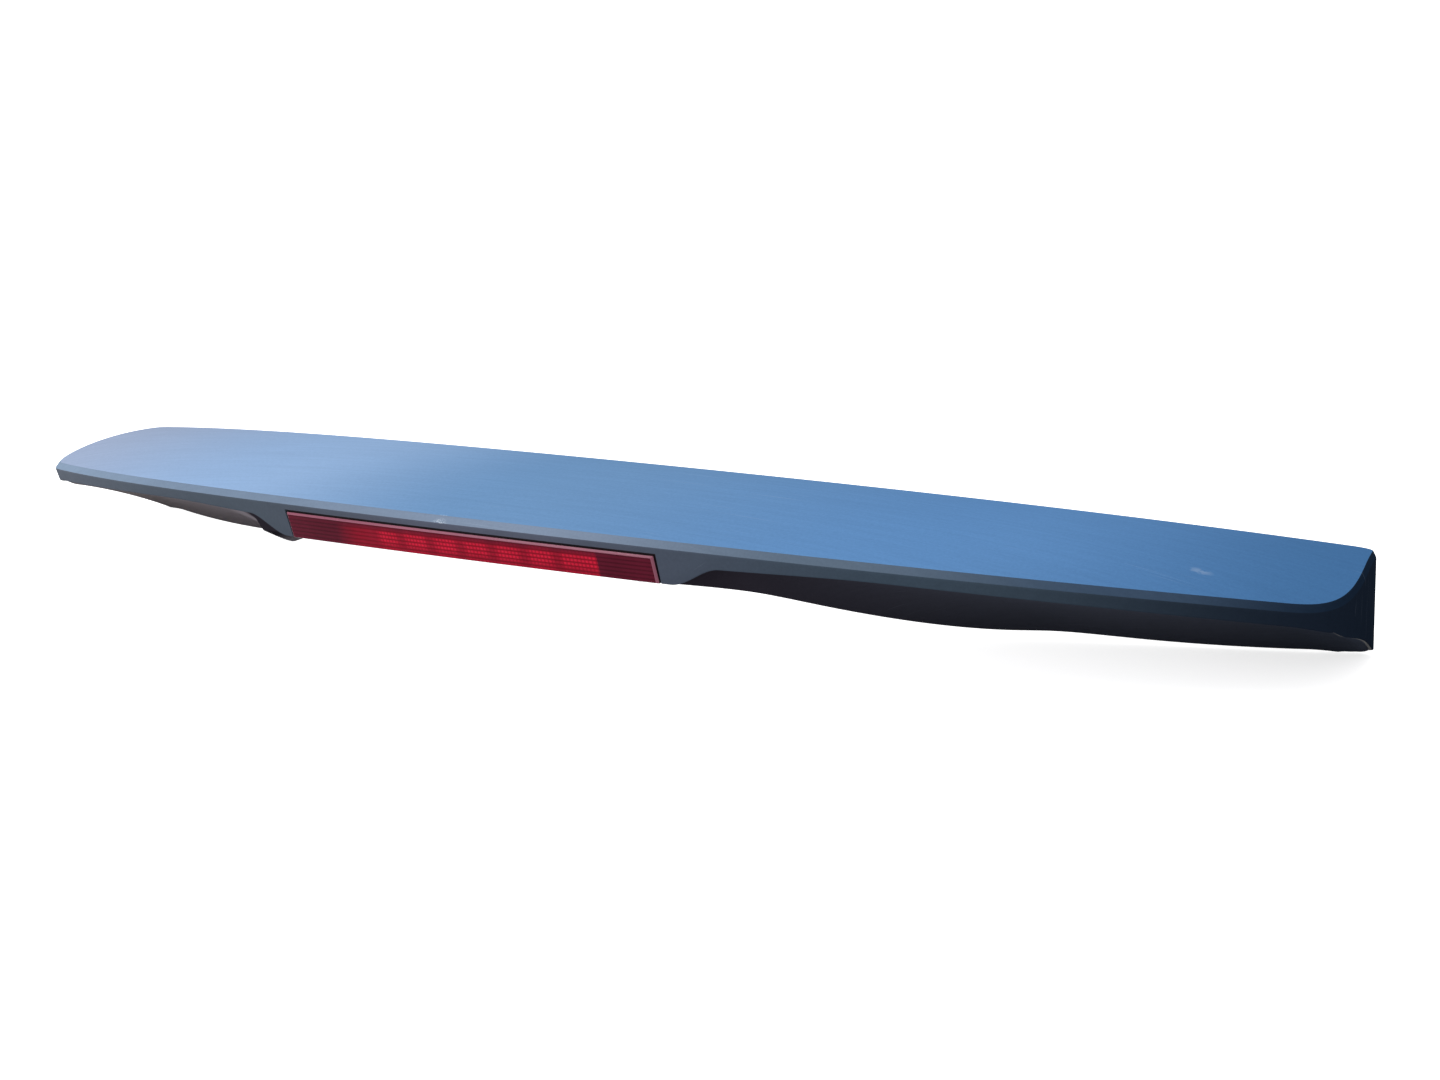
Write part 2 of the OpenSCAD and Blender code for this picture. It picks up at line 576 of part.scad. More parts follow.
// Section of the edge seal: distance out of the flange, and drop under its top.
strip_section = [[seat_gap, 3], [strip_t, 4], [strip_t, 2 + strip_h], [seat_gap, 3 + strip_h]];
module edge_seal() color(black) in_frame()
    loft_bar([for (i = [0 : last_main]) [for (q = strip_section) front_pt(i, front_bevel(i) + q[0], -q[1])]]);

module rest_pads() color(black) in_frame() at_pads() translate([0, 0, -pad_t]) cylinder(r = pad_r, h = pad_t);

upper_skin();
lower_shell();
lamp_lens();
lamp_gasket();
lamp_housing();
lamp_reflector();
led_board();
leds();
board_socket();
socket_pins();
lamp_screws();
mounting_studs();
stud_inserts();
stud_seals();
wire_grommet();
edge_seal();
rest_pads();
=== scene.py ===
"""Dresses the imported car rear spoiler: smooth skins, stop lamp, fixings, finishes, studio and camera."""
from __future__ import annotations

import logging
import math
from dataclasses import dataclass
from enum import Enum, IntEnum

import bmesh
import bpy
import numpy as np
from mathutils import Matrix, Vector


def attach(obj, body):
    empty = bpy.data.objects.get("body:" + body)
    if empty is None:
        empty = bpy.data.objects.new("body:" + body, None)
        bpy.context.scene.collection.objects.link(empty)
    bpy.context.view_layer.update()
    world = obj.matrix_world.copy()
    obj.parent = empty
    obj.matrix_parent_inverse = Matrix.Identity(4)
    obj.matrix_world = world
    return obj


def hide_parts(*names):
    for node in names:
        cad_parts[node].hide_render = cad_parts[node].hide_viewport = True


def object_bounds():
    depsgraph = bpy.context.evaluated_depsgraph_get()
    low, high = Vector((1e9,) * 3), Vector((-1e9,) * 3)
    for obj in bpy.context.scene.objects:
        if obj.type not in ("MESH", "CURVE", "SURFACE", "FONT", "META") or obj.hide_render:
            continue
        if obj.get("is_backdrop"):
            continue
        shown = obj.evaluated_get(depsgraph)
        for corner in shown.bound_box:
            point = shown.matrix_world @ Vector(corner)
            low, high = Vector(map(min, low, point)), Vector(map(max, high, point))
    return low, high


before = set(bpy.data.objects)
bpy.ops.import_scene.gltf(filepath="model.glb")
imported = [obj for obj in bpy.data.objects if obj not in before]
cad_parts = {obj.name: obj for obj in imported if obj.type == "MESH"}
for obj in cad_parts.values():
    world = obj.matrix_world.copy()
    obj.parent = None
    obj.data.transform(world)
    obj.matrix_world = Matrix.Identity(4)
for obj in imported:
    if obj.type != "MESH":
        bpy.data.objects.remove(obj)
log = logging.getLogger("spoiler")

MM = 0.001
Vec3 = tuple[float, float, float]
Colour = Vec3
Stops = tuple[tuple[float, Colour], ...]

# Steps round one end of the wing, from the start of its corners to the end line. The rear corner turns up
# to REAR_TURN, the front one from FRONT_START to FRONT_TURN, and both sides run on to near one another.
TIP_STEPS = 10
REAR_TURN = 7
FRONT_START, FRONT_TURN = 3, 8
REAR_MEET, FRONT_MEET = 0.3, 0.7

# Sides of a turned form, and the station at which the opening for the lamp ends, in millimetres.
ROUND_SIDES = 40
LAMP_OPENING_HALF = 165.8

# Points closer than WELD are one point, and edges shorter than TINY are none, in metres.
WELD, TINY = 2e-6, 1e-7

# A rounding takes at most this share of the run to its neighbour, and divides by at least this length.
FILLET_SHARE, SHORTEST = 0.49, 1e-9

# Range of a cloudy pattern that counts, plain and for the change between two plastics.
PATTERN_RANGE = (0.3, 0.7)
BLEND_RANGE = (0.35, 0.65)


class Turn(Enum):
    """Steps round an end over which one rule of the section gives way to another."""

    SHARE = (0, 6)
    FRONT = (2, 7)
    LEAN = (0, 7)
    LIP = (0, 4)
    BEVEL = (0, 5)
    BASE = (2, 8)


def srgb(r: float, g: float, b: float) -> Colour:
    """Turn a display colour into the linear one that a shader takes.

    Args:
        r: Red from 0 to 255.
        g: Green from 0 to 255.
        b: Blue from 0 to 255.

    Returns:
        The linear colour.
    """
    parts = [c / 255 for c in (r, g, b)]
    return tuple(p / 12.92 if p <= 0.04045 else ((p + 0.055) / 1.055) ** 2.4 for p in parts)


def lerp(a, b, t):
    """Mix two numbers or arrays in the share t."""
    return a + (b - a) * t


def ease(t):
    """Run smoothly from 0 to 1 while t does."""
    s = np.clip(t, 0.0, 1.0)
    return s * s * (3 - 2 * s)


def soft_max(a, b, k: float):
    """Take the larger of two numbers, with a soft change over k."""
    return (a + b + np.sqrt((a - b) ** 2 + k * k)) / 2


def soft_min(a, b, k: float):
    """Take the smaller of two numbers, with a soft change over k."""
    return -soft_max(-a, -b, k)


def bezier(a, b, c, t):
    """Point of a quadratic curve from a to c with its handle at b."""
    return a * (1 - t) ** 2 + b * 2 * t * (1 - t) + c * t * t


def joined(plan: np.ndarray, z: np.ndarray) -> np.ndarray:
    """Put plan points and heights together into points of space."""
    return np.concatenate([plan, z[..., None]], axis=-1)


def square_to(along: np.ndarray, side: float = 1.0) -> np.ndarray:
    """Unit plan vectors to the left of a run, or to its right where side is -1."""
    t = along / np.linalg.norm(along, axis=1)[:, None]
    return side * np.stack([-t[:, 1], t[:, 0]], -1)


@dataclass(frozen=True)
class WingForm:
    """Sizes and rules of the spoiler's form, in millimetres from the crease at mid width."""

    wing_half: float = 584.0
    chord_mid: float = 172.6
    rear_sweep: float = 129.8
    rear_sweep_tip: float = 24.7
    front_sweep: float = 88.3
    front_sweep_tip: float = 1.7
    crown: float = 38.6
    crown_tip: float = 4.9
    front_rise: float = 5.5
    camber: float = 4.86
    end_rake: float = 29.2
    rear_corner_run: float = 34.0
    rear_corner_rise: float = 60.0
    front_corner_run: float = 9.0
    front_corner_in: float = 0.9
    end_in: float = 0.7
    end_bevel: float = 1.9
    corner_pull: float = 0.2
    end_rear_height: float = 21.9
    end_front_height: float = 69.4
    end_lean: float = 0.04
    end_blend: float = 22.0
    end_blend_on: float = 45.0
    end_foot: float = 0.82
    end_inset: float = 2.0
    end_step: float = 3.0
    end_sag: float = 2.4
    end_round: float = 6.0
    end_round_share: float = 0.065
    end_round_stop: float = 0.99
    wall: float = 3.0
    bevel_out: float = 4.6
    bevel_drop: float = 4.4
    lip_height: float = 11.0
    lip_growth: float = 3.6
    face_lean: float = 0.235
    front_round: float = 1.2
    flange_height: float = 12.0
    lap: float = 2.6
    shell_depth: float = 79.7
    pod_depth: float = 35.1
    deep_station: float = 0.59
    deep_rise: float = 0.268
    deep_spread: float = 0.8
    wall_share: float = 0.99
    share_station: float = 0.706
    share_spread: float = 0.338
    pod_share: float = 0.12
    foot_limit: float = 0.94
    wall_hollow: float = 7.0
    pod_half: float = 172.0
    pod_flare: float = 38.0
    pod_height: float = 30.2
    flare_tail: float = 4.5
    flare_tail_run: float = 150.0
    inner_stud_x: float = 150.0
    inner_stud_drop: float = 23.5
    outer_stud_x: float = 400.0
    outer_stud_drop: float = 46.0

    @property
    def origin(self) -> np.ndarray:
        """Place of the shared frame's origin, between the inner studs."""
        return self.wall_seat(self.inner_stud_x, self.inner_stud_drop) * [0, 1, 1]

    @property
    def stud_seats(self) -> tuple[tuple[float, float], ...]:
        """Station and drop under the crease of the inner and the outer stud."""
        return (self.inner_stud_x, self.inner_stud_drop), (self.outer_stud_x, self.outer_stud_drop)

    def wall_seat(self, x: float, drop: float) -> np.ndarray:
        """Place on the front wall at a station and a drop under the crease."""
        return np.array([x, self.front_y(x) + self.front_round, self.crown_z(x) - drop])

    @property
    def rear_start(self) -> float:
        """Station at which the rear corner's rounding starts."""
        return self.wing_half - self.rear_corner_run

    def share2(self, x):
        """Square of a station's share of the half width."""
        return (x / self.wing_half) ** 2

    def rear_y(self, x):
        """Plan of the trailing crease."""
        s = self.share2(x)
        return self.rear_sweep * s + self.rear_sweep_tip * s * s

    def front_y(self, x):
        """Plan of the front edge."""
        s = self.share2(x)
        return self.chord_mid + self.front_sweep * s + self.front_sweep_tip * s * s

    def crown_z(self, x):
        """Height of the trailing crease."""
        s = self.share2(x)
        return -self.crown * s - self.crown_tip * s * s

    def top_z(self, plan: np.ndarray) -> np.ndarray:
        """Height of the top skin over plan points."""
        x, y = plan[..., 0], plan[..., 1]
        c = (y - self.rear_y(x)) / (self.front_y(x) - self.rear_y(x))
        return self.crown_z(x) + self.front_rise * self.share2(x) * c + 4 * self.camber * c * (1 - c)

    def end_point(self, s) -> np.ndarray:
        """Plan point of the end line at the run s from the rear corner."""
        tip_y = self.rear_y(self.wing_half)
        length = self.front_y(self.wing_half) - tip_y
        s = np.asarray(s, float)
        return np.stack([self.wing_half - self.end_in - self.end_rake * s / length, tip_y + s], axis=-1)

    def front_end(self) -> float:
        """Run of the front corner on the end line."""
        return float(self.front_y(self.wing_half - self.end_rake) - self.rear_y(self.wing_half))

    def end_drop(self, plan: np.ndarray) -> np.ndarray:
        """Height of the end face at a plan point."""
        run = np.maximum(0, (plan[..., 1] - self.rear_y(self.wing_half)) / self.front_end())
        turn = np.clip((run - 1) / self.end_round_share + 1, 0, self.end_round_stop)
        rounding = self.end_round * (1 - np.sqrt(1 - turn ** 2))
        return lerp(self.end_rear_height, self.end_front_height, run) - rounding

    def pod_at(self, x):
        """Share of the lamp pod at a station."""
        return 1 - ease((np.abs(x) - self.pod_half) / self.pod_flare)

    def end_reach(self, x):
        """Share of the end's form at a station."""
        return ease((x - self.rear_start + self.end_blend) / (self.end_blend + self.end_blend_on))

    @property
    def front_start(self) -> float:
        """Station at which the front corner's rounding starts."""
        return self.wing_half - self.end_in - self.end_rake - self.front_corner_run

    def rounded(self, p0: np.ndarray, p1: np.ndarray, p2: np.ndarray, k: np.ndarray) -> np.ndarray:
        """Point of the tight curve from p0 to p2 past the sharp corner p1."""
        near, far = lerp(p1, p0, self.corner_pull), lerp(p1, p2, self.corner_pull)
        return p0 * (1 - k) ** 3 + near * 3 * k * (1 - k) ** 2 + far * 3 * k * k * (1 - k) + p2 * k ** 3

    def meet(self, share: float) -> np.ndarray:
        """Plan point between the two rounded corners of an end."""
        return self.end_point(lerp(self.rear_corner_rise, self.front_end() - self.front_corner_run, share))

    def rear_corner(self, tip: np.ndarray) -> np.ndarray:
        """Plan of the rear side round the corner.

        Args:
            tip: Steps from 0 at the corner's start to TIP_STEPS on the end line.

        Returns:
            Plan points.
        """
        x0 = self.rear_start
        slope = (self.rear_y(x0 + 1) - self.rear_y(x0 - 1)) / 2
        tip_y = self.rear_y(self.wing_half)
        rake = self.end_rake / (self.front_y(self.wing_half) - tip_y)
        p0 = np.array([x0, self.rear_y(x0)])
        t = (self.wing_half - self.end_in - rake * (p0[1] - tip_y) - x0) / (1 + rake * slope)
        p1 = p0 + np.array([t, slope * t])
        p2 = self.end_point(self.rear_corner_rise)
        tip = tip[:, None]
        curve = self.rounded(p0, p1, p2, np.minimum(tip, REAR_TURN) / REAR_TURN)
        on = (tip - REAR_TURN) / (TIP_STEPS - REAR_TURN)
        return np.where(tip <= REAR_TURN, curve, lerp(p2, self.meet(REAR_MEET), on))

    def front_corner(self, tip: np.ndarray) -> np.ndarray:
        """Plan of the front side round the corner.

        Args:
            tip: Steps from 0 to TIP_STEPS, as for the rear corner.

        Returns:
            Plan points.
        """
        start = self.front_start
        x = lerp(start - self.front_corner_run, start, np.minimum(tip, FRONT_START) / FRONT_START)
        straight = np.stack([x, self.front_y(x)], axis=-1)
        p0 = np.array([start, self.front_y(start)])
        p1 = self.end_point(self.front_end() - self.front_corner_in)
        p2 = self.end_point(self.front_end() - self.front_corner_run)
        tip = tip[:, None]
        curve = self.rounded(p0, p1, p2, np.clip((tip - FRONT_START) / (FRONT_TURN - FRONT_START), 0, 1))
        on = lerp(p2, self.meet(FRONT_MEET), (tip - FRONT_TURN) / (TIP_STEPS - FRONT_TURN))
        return np.where(tip <= FRONT_START, straight, np.where(tip <= FRONT_TURN, curve, on))

    def front_x(self, x: np.ndarray) -> np.ndarray:
        """Station of the front edge that belongs to a station of the crease."""
        main_end = self.front_start - self.front_corner_run
        return x * lerp(1, main_end / self.rear_start, (x / self.rear_start) ** 2)


class Stations:
    """Cross-sections of the right half, from mid width round the end to the end line."""

    lens_cuts, rim_cuts, flare_cuts, long_cuts = 28, 6, 22, 54
    nudge = 0.05

    def __init__(self, form: WingForm, opening: float, tip_cuts: int = 4) -> None:
        """Lay out the stations.

        Args:
            form: The spoiler's form.
            opening: Station of the lamp opening's end.
            tip_cuts: Number of sections for each step round the end.
        """
        flare_end = form.pod_half + form.pod_flare
        x = np.concatenate([np.linspace(0, opening, self.lens_cuts)[:-1],
                            np.linspace(opening, form.pod_half, self.rim_cuts)[:-1],
                            np.linspace(form.pod_half, flare_end, self.flare_cuts)[:-1],
                            np.linspace(flare_end, form.rear_start, self.long_cuts)])
        tip = np.linspace(0, TIP_STEPS, TIP_STEPS * tip_cuts + 1)[1:]
        self.form = form
        self.tip = np.concatenate([np.zeros(len(x)), tip])
        self.lamp_end = self.lens_cuts - 1
        fx = form.front_x(x)
        self.rear = np.concatenate([np.stack([x, form.rear_y(x)], -1), form.rear_corner(tip)])
        self.front = np.concatenate([np.stack([fx, form.front_y(fx)], -1), form.front_corner(tip)])
        self.rear_out = self._outward(x, tip, form.rear_y, lambda v: v, form.rear_corner, -1.0)
        self.front_out = self._outward(x, tip, form.front_y, form.front_x, form.front_corner, 1.0)
        self.end_share = lerp(form.end_reach(np.minimum(self.rear[:, 0], form.rear_start)), 1,
                              self.turned(Turn.SHARE))
        self.front_share = self.turned(Turn.FRONT)
        self.lean = lerp(form.face_lean, form.end_lean, self.turned(Turn.LEAN))
        tail = form.flare_tail * (1 - ease((self.rear[:, 0] - form.pod_half) / form.flare_tail_run))
        plain = lerp(form.lip_height + form.lip_growth * form.share2(self.rear[:, 0]) + tail,
                     form.pod_height, form.pod_at(self.rear[:, 0]))
        self.lip = lerp(plain, form.end_drop(self.rear), self.turned(Turn.LIP))
        self.flange = lerp(form.flange_height, form.end_drop(self.front), self.front_share)
        self.rear_bevel = lerp(form.bevel_out, form.end_bevel, self.turned(Turn.BEVEL))
        self.front_bevel = lerp(form.front_round, form.end_bevel, self.front_share)
        self.front_drop = lerp(form.front_round, form.bevel_drop, self.front_share)

    def turned(self, turn: Turn) -> np.ndarray:
        """Share of a change round the end, for each section."""
        start, stop = turn.value
        return ease((self.tip - start) / (stop - start))

    def _outward(self, x: np.ndarray, tip: np.ndarray, curve, station, corner, side: float) -> np.ndarray:
        """Unit plan vectors that point out of one edge.

        Args:
            x: Stations of the long run.
            tip: Steps round the corner.
            curve: Plan of the edge over a station.
            station: Station of the edge for a station of the crease.
            corner: Plan of the edge round the corner.
            side: 1 for the front edge and -1 for the rear one.

        Returns:
            One vector for each station.
        """
        e = station(x)
        along = np.stack([np.full(len(x), 2.0), curve(e + 1) - curve(e - 1)], -1)
        turned = corner(np.minimum(tip + self.nudge, TIP_STEPS)) - corner(np.maximum(tip - self.nudge, 0))
        return square_to(np.concatenate([along, turned]), side)


class Fabric:
    """Collects patches of faces and turns them into one closed mesh."""

    def __init__(self, origin: np.ndarray) -> None:
        """Start empty.

        Args:
            origin: Place of the shared frame's origin, in millimetres.
        """
        self.origin = origin
        self.points: list[np.ndarray] = []
        self.faces: list[tuple[int, ...]] = []
        self.marks: list[int] = []
        self.count = 0

    def grid(self, rows: np.ndarray, mark: int = 0, both: bool = False) -> None:
        """Add a patch of four-sided faces.

        Args:
            rows: Points in rows and columns.
            mark: Material place of the patch.
            both: Add the patch mirrored to the left too.
        """
        n, m = rows.shape[:2]
        for flip in ((False, True) if both else (False,)):
            pts = rows.reshape(-1, 3).copy()
            if flip:
                pts[:, 0] *= -1
            i, j = np.meshgrid(np.arange(n - 1), np.arange(m - 1), indexing="ij")
            a = (i * m + j).ravel() + self.count
            quad = np.stack([a, a + 1, a + m + 1, a + m], -1)
            self.faces.extend(map(tuple, (quad[:, ::-1] if flip else quad).tolist()))
            self.marks.extend([mark] * len(quad))
            self.points.append(pts)
            self.count += len(pts)

    def polygon(self, ring: np.ndarray, mark: int = 0, both: bool = False) -> None:
        """Add one face with many corners.

        Args:
            ring: Its corners in order.
            mark: Material place of the face.
            both: Add the face mirrored to the left too.
        """
        for flip in ((1, -1) if both else (1,)):
            self.points.append(ring * [flip, 1, 1])
            self.faces.append(tuple(range(self.count, self.count + len(ring))))
            self.marks.append(mark)
            self.count += len(ring)

    def bar(self, rows: np.ndarray, mark: int = 0) -> None:
        """Add a closed bar.

        Args:
            rows: Rings of points, one for each step.
            mark: Material place of the bar.
        """
        self.grid(np.concatenate([rows, rows[:, :1]], axis=1), mark)
        self.polygon(rows[0], mark)
        self.polygon(rows[-1], mark)

    def finish(self, name: str, materials: list[bpy.types.Material], sharp: float = 38.0) -> bpy.types.Object:
        """Make the object from the patches.

        Args:
            name: Name of the piece.
            materials: One material for each mark.
            sharp: Angle in degrees over which an edge stays sharp.

        Returns:
            The finished object, closed, with its faces outwards.
        """
        mesh = bpy.data.meshes.new(name)
        pts = (np.concatenate(self.points) - self.origin) * MM
        mesh.from_pydata(pts.tolist(), [], self.faces)
        mesh.polygons.foreach_set("material_index", self.marks)
        bm = bmesh.new()
        bm.from_mesh(mesh)
        bmesh.ops.remove_doubles(bm, verts=bm.verts, dist=WELD)
        bmesh.ops.dissolve_degenerate(bm, edges=bm.edges, dist=TINY)
        bmesh.ops.recalc_face_normals(bm, faces=bm.faces)
        if bm.calc_volume(signed=True) < 0:
            bmesh.ops.reverse_faces(bm, faces=bm.faces)
        open_edges = sum(1 for e in bm.edges if len(e.link_faces) != 2)
        bm.to_mesh(mesh)
        bm.free()
        mesh.shade_smooth()
        mesh.set_sharp_from_angle(angle=math.radians(sharp))
        for material in materials:
            mesh.materials.append(material)
        obj = bpy.data.objects.new(name, mesh)
        bpy.context.scene.collection.objects.link(obj)
        log.info("%s: %d faces, %d open edges", name, len(mesh.polygons), open_edges)
        return obj


def fillet(before: np.ndarray, corner: np.ndarray, after: np.ndarray, setback: float,
           steps: int = 4) -> list[np.ndarray]:
    """Round one corner of many sections at once.

    Args:
        before: Points before the corner.
        corner: The corner points.
        after: Points after the corner.
        setback: Distance from the corner at which its rounding starts.
        steps: Number of steps round the corner.

    Returns:
        The points round the corner, one array for each step's end.
    """
    def toward(p: np.ndarray) -> np.ndarray:
        """Point on the way to a neighbour, at the setback."""
        v = p - corner
        r = np.linalg.norm(v, axis=-1, keepdims=True)
        return corner + v / np.maximum(r, SHORTEST) * np.minimum(setback, r * FILLET_SHARE)

    a, b = toward(before), toward(after)
    return [bezier(a, corner, b, k / steps) for k in range(steps + 1)]


class Wiring:
    """Builds one node tree, step by step."""

    def __init__(self, tree: bpy.types.NodeTree) -> None:
        """Start with an empty tree.

        Args:
            tree: The tree.
        """
        self.tree = tree
        tree.nodes.clear()

    def plug(self, socket: bpy.types.NodeSocket, value) -> None:
        """Set an input, or link a node's output to it."""
        if isinstance(value, bpy.types.NodeSocket):
            self.tree.links.new(value, socket)
        elif isinstance(value, tuple) and len(value) == 3 and len(socket.default_value) == 4:
            socket.default_value = (*value, 1.0)
        else:
            socket.default_value = value

    def node(self, kind: str, inputs: dict[str | int, object] | None = None, **settings) -> bpy.types.Node:
        """Add a node.

        Args:
            kind: The node's type.
            inputs: Values or outputs for its inputs, by name or place.
            settings: Values for its own settings.

        Returns:
            The node.
        """
        node = self.tree.nodes.new(kind)
        for key, value in settings.items():
            setattr(node, key, value)
        for key, value in (inputs or {}).items():
            self.plug(node.inputs[key], value)
        return node

    def maths(self, kind: str, a, b=0.0) -> bpy.types.NodeSocket:
        """One step of arithmetic."""
        return self.node("ShaderNodeMath", {0: a, 1: b}, operation=kind).outputs[0]

    def product(self, first, *others) -> bpy.types.NodeSocket:
        """Product of several values."""
        for other in others:
            first = self.maths("MULTIPLY", first, other)
        return first

    def remap(self, value: bpy.types.NodeSocket, lo: float, hi: float, to_lo: float = 0.0,
              to_hi: float = 1.0) -> bpy.types.NodeSocket:
        """Map a range of values to another, held at its ends."""
        return self.node("ShaderNodeMapRange", {"Value": value, "From Min": lo, "From Max": hi,
                                                "To Min": to_lo, "To Max": to_hi}).outputs[0]


@dataclass(frozen=True)
class Cloud:
    """Sizes of one cloudy pattern: scale, detail, stretch for each axis, and turn round Z."""

    scale: float
    detail: float = 2.0
    stretch: Vec3 = (1, 1, 1)
    turn: float = 0.0


PATCHES = Cloud(4.0, 3.0, (1, 2.0, 1), 0.2)
STREAKS = Cloud(1.0, 3.0, (14, 330, 60), 0.12)
FINE_GRAIN = Cloud(520.0)
HAIR_LINES = Cloud(1.0, 2.0, (9, 900, 9), 0.35)
HAIR_PLACES = Cloud(14.0, 1.0)
GLOSS = Cloud(38.0, 5.0)
PEEL = Cloud(420.0)
MIST = Cloud(60.0, 3.0)
LENS_PEEL = Cloud(600.0)


class Bench(Wiring):
    """Builds one node material."""

    near_full = 0.35

    def __init__(self, name: str) -> None:
        """Start a material with one surface shader.

        Args:
            name: Name of the material.
        """
        self.material = bpy.data.materials.new(name)
        self.material.use_nodes = True
        super().__init__(self.material.node_tree)
        self.surface = self.node("ShaderNodeBsdfPrincipled")
        self.node("ShaderNodeOutputMaterial", {0: self.surface.outputs[0]})
        self.coords = self.node("ShaderNodeTexCoord").outputs["Object"]

    def set(self, **values) -> None:
        """Set constants on the surface shader, named with underscores for spaces."""
        for key, value in values.items():
            self.plug(self.surface.inputs[key.replace("_", " ")], value)

    def axis(self, index: int) -> bpy.types.NodeSocket:
        """One axis of the object coordinates."""
        return self.node("ShaderNodeSeparateXYZ", {0: self.coords}).outputs[index]

    def layer(self, name: str) -> bpy.types.NodeSocket:
        """Value that the piece's own mesh carries under a name."""
        return self.node("ShaderNodeAttribute", attribute_name=name).outputs["Fac"]

    def noise(self, cloud: Cloud) -> bpy.types.NodeSocket:
        """Cloudy pattern from 0 to 1."""
        spot = self.node("ShaderNodeMapping", {"Vector": self.coords, "Scale": cloud.stretch,
                                               "Rotation": (0, 0, cloud.turn)}).outputs[0]
        return self.node("ShaderNodeTexNoise", {"Vector": spot, "Scale": cloud.scale,
                                                "Detail": cloud.detail}).outputs[0]

    def spread(self, cloud: Cloud, low: float, high: float) -> bpy.types.NodeSocket:
        """Cloudy pattern between two values."""
        return self.remap(self.noise(cloud), *PATTERN_RANGE, low, high)

    def ramp(self, value: bpy.types.NodeSocket, stops: Stops) -> bpy.types.NodeSocket:
        """Colours along a value from 0 to 1."""
        node = self.node("ShaderNodeValToRGB", {0: value})
        node.color_ramp.interpolation = "EASE"
        bar = node.color_ramp.elements
        while len(bar) < len(stops):
            bar.new(0.5)
        for element, (place, colour) in zip(bar, stops):
            element.position = place
            element.color = (*colour, 1.0)
        return node.outputs[0]

    def mix(self, share, a, b, kind: str = "MIX") -> bpy.types.NodeSocket:
        """Mix two colours."""
        return self.node("ShaderNodeMix", {0: share, 6: a, 7: b}, data_type="RGBA",
                         blend_type=kind).outputs[2]

    def shade(self, colour: bpy.types.NodeSocket, level: bpy.types.NodeSocket) -> bpy.types.NodeSocket:
        """Make a colour lighter or darker by a factor."""
        grey = self.node("ShaderNodeCombineColor", {0: level, 1: level, 2: level})
        return self.mix(1.0, colour, grey.outputs[0], "MULTIPLY")

    def near(self, spot: Vec3, reach: Vec3) -> bpy.types.NodeSocket:
        """Share that falls from 1 at a place to 0 at a reach round it."""
        value = self.coords
        for kind, numbers in (("SUBTRACT", spot), ("DIVIDE", reach)):
            value = self.node("ShaderNodeVectorMath", {0: value, 1: numbers}, operation=kind).outputs[0]
        length = self.node("ShaderNodeVectorMath", {0: value}, operation="LENGTH").outputs["Value"]
        return self.remap(length, self.near_full, 1.0, 1.0, 0.0)

    def bump(self, height: bpy.types.NodeSocket, strength: float, distance: float) -> None:
        """Raise the surface by a pattern."""
        node = self.node("ShaderNodeBump", {"Strength": strength, "Distance": distance, "Height": height})
        self.plug(self.surface.inputs["Normal"], node.outputs[0])


@dataclass(frozen=True)
class Mark:
    """A small pale place where the lacquer is chipped or rubbed."""

    spot: Vec3
    reach: Vec3
    share: float
    grain: float = 900.0
    cut: float = 0.5
    soft: float = 0.1


@dataclass(frozen=True)
class Lacquer:
    """Coloured lacquer with painted reflection and shade that darken along the width, and cloudy patches,
    streaks and hair scratches.
    """

    name: str
    stops: Stops
    roughness: float = 0.38
    specular: float = 0.12
    patches: float = 0.04
    streaks: float = 0.03
    grain: float = 0.035
    scratches: float = 0.12
    marks: tuple[Mark, ...] = ()
    half: float = 0.58
    hair_range: tuple[float, float] = (0.68, 0.73)
    place_range: tuple[float, float] = (0.54, 0.64)
    gloss_range: tuple[float, float] = (-0.05, 0.06)
    scratch_pale: Colour = srgb(190, 205, 225)
    mark_pale: Colour = srgb(205, 215, 226)
    peel: float = 0.05
    peel_height: float = 0.0004

    def material(self) -> bpy.types.Material:
        """Make the material.

        Returns:
            The node material.
        """
        b = Bench(self.name)
        # Painted reflection and painted shade: tones that change along the width.
        colour = b.ramp(b.remap(b.axis(0), -self.half, self.half), self.stops)
        level = b.product(*(b.spread(cloud, 1 - share, 1 + share) for share, cloud in (
            (self.patches, PATCHES), (self.streaks, STREAKS), (self.grain, FINE_GRAIN))))
        colour = b.shade(colour, level)
        line = b.remap(b.noise(HAIR_LINES), *self.hair_range)
        place = b.remap(b.noise(HAIR_PLACES), *self.place_range)
        colour = b.mix(b.product(line, place, self.scratches), colour, self.scratch_pale)
        for mark in self.marks:
            speck = b.remap(b.noise(Cloud(mark.grain)), mark.cut, mark.cut + mark.soft)
            share = b.product(b.near(mark.spot, mark.reach), speck, mark.share)
            colour = b.mix(share, colour, self.mark_pale)
        rough = b.spread(GLOSS, *(self.roughness + step for step in self.gloss_range))
        b.set(Base_Color=colour, Specular_IOR_Level=self.specular, Roughness=rough)
        b.bump(b.noise(PEEL), self.peel, self.peel_height)
        return b.material


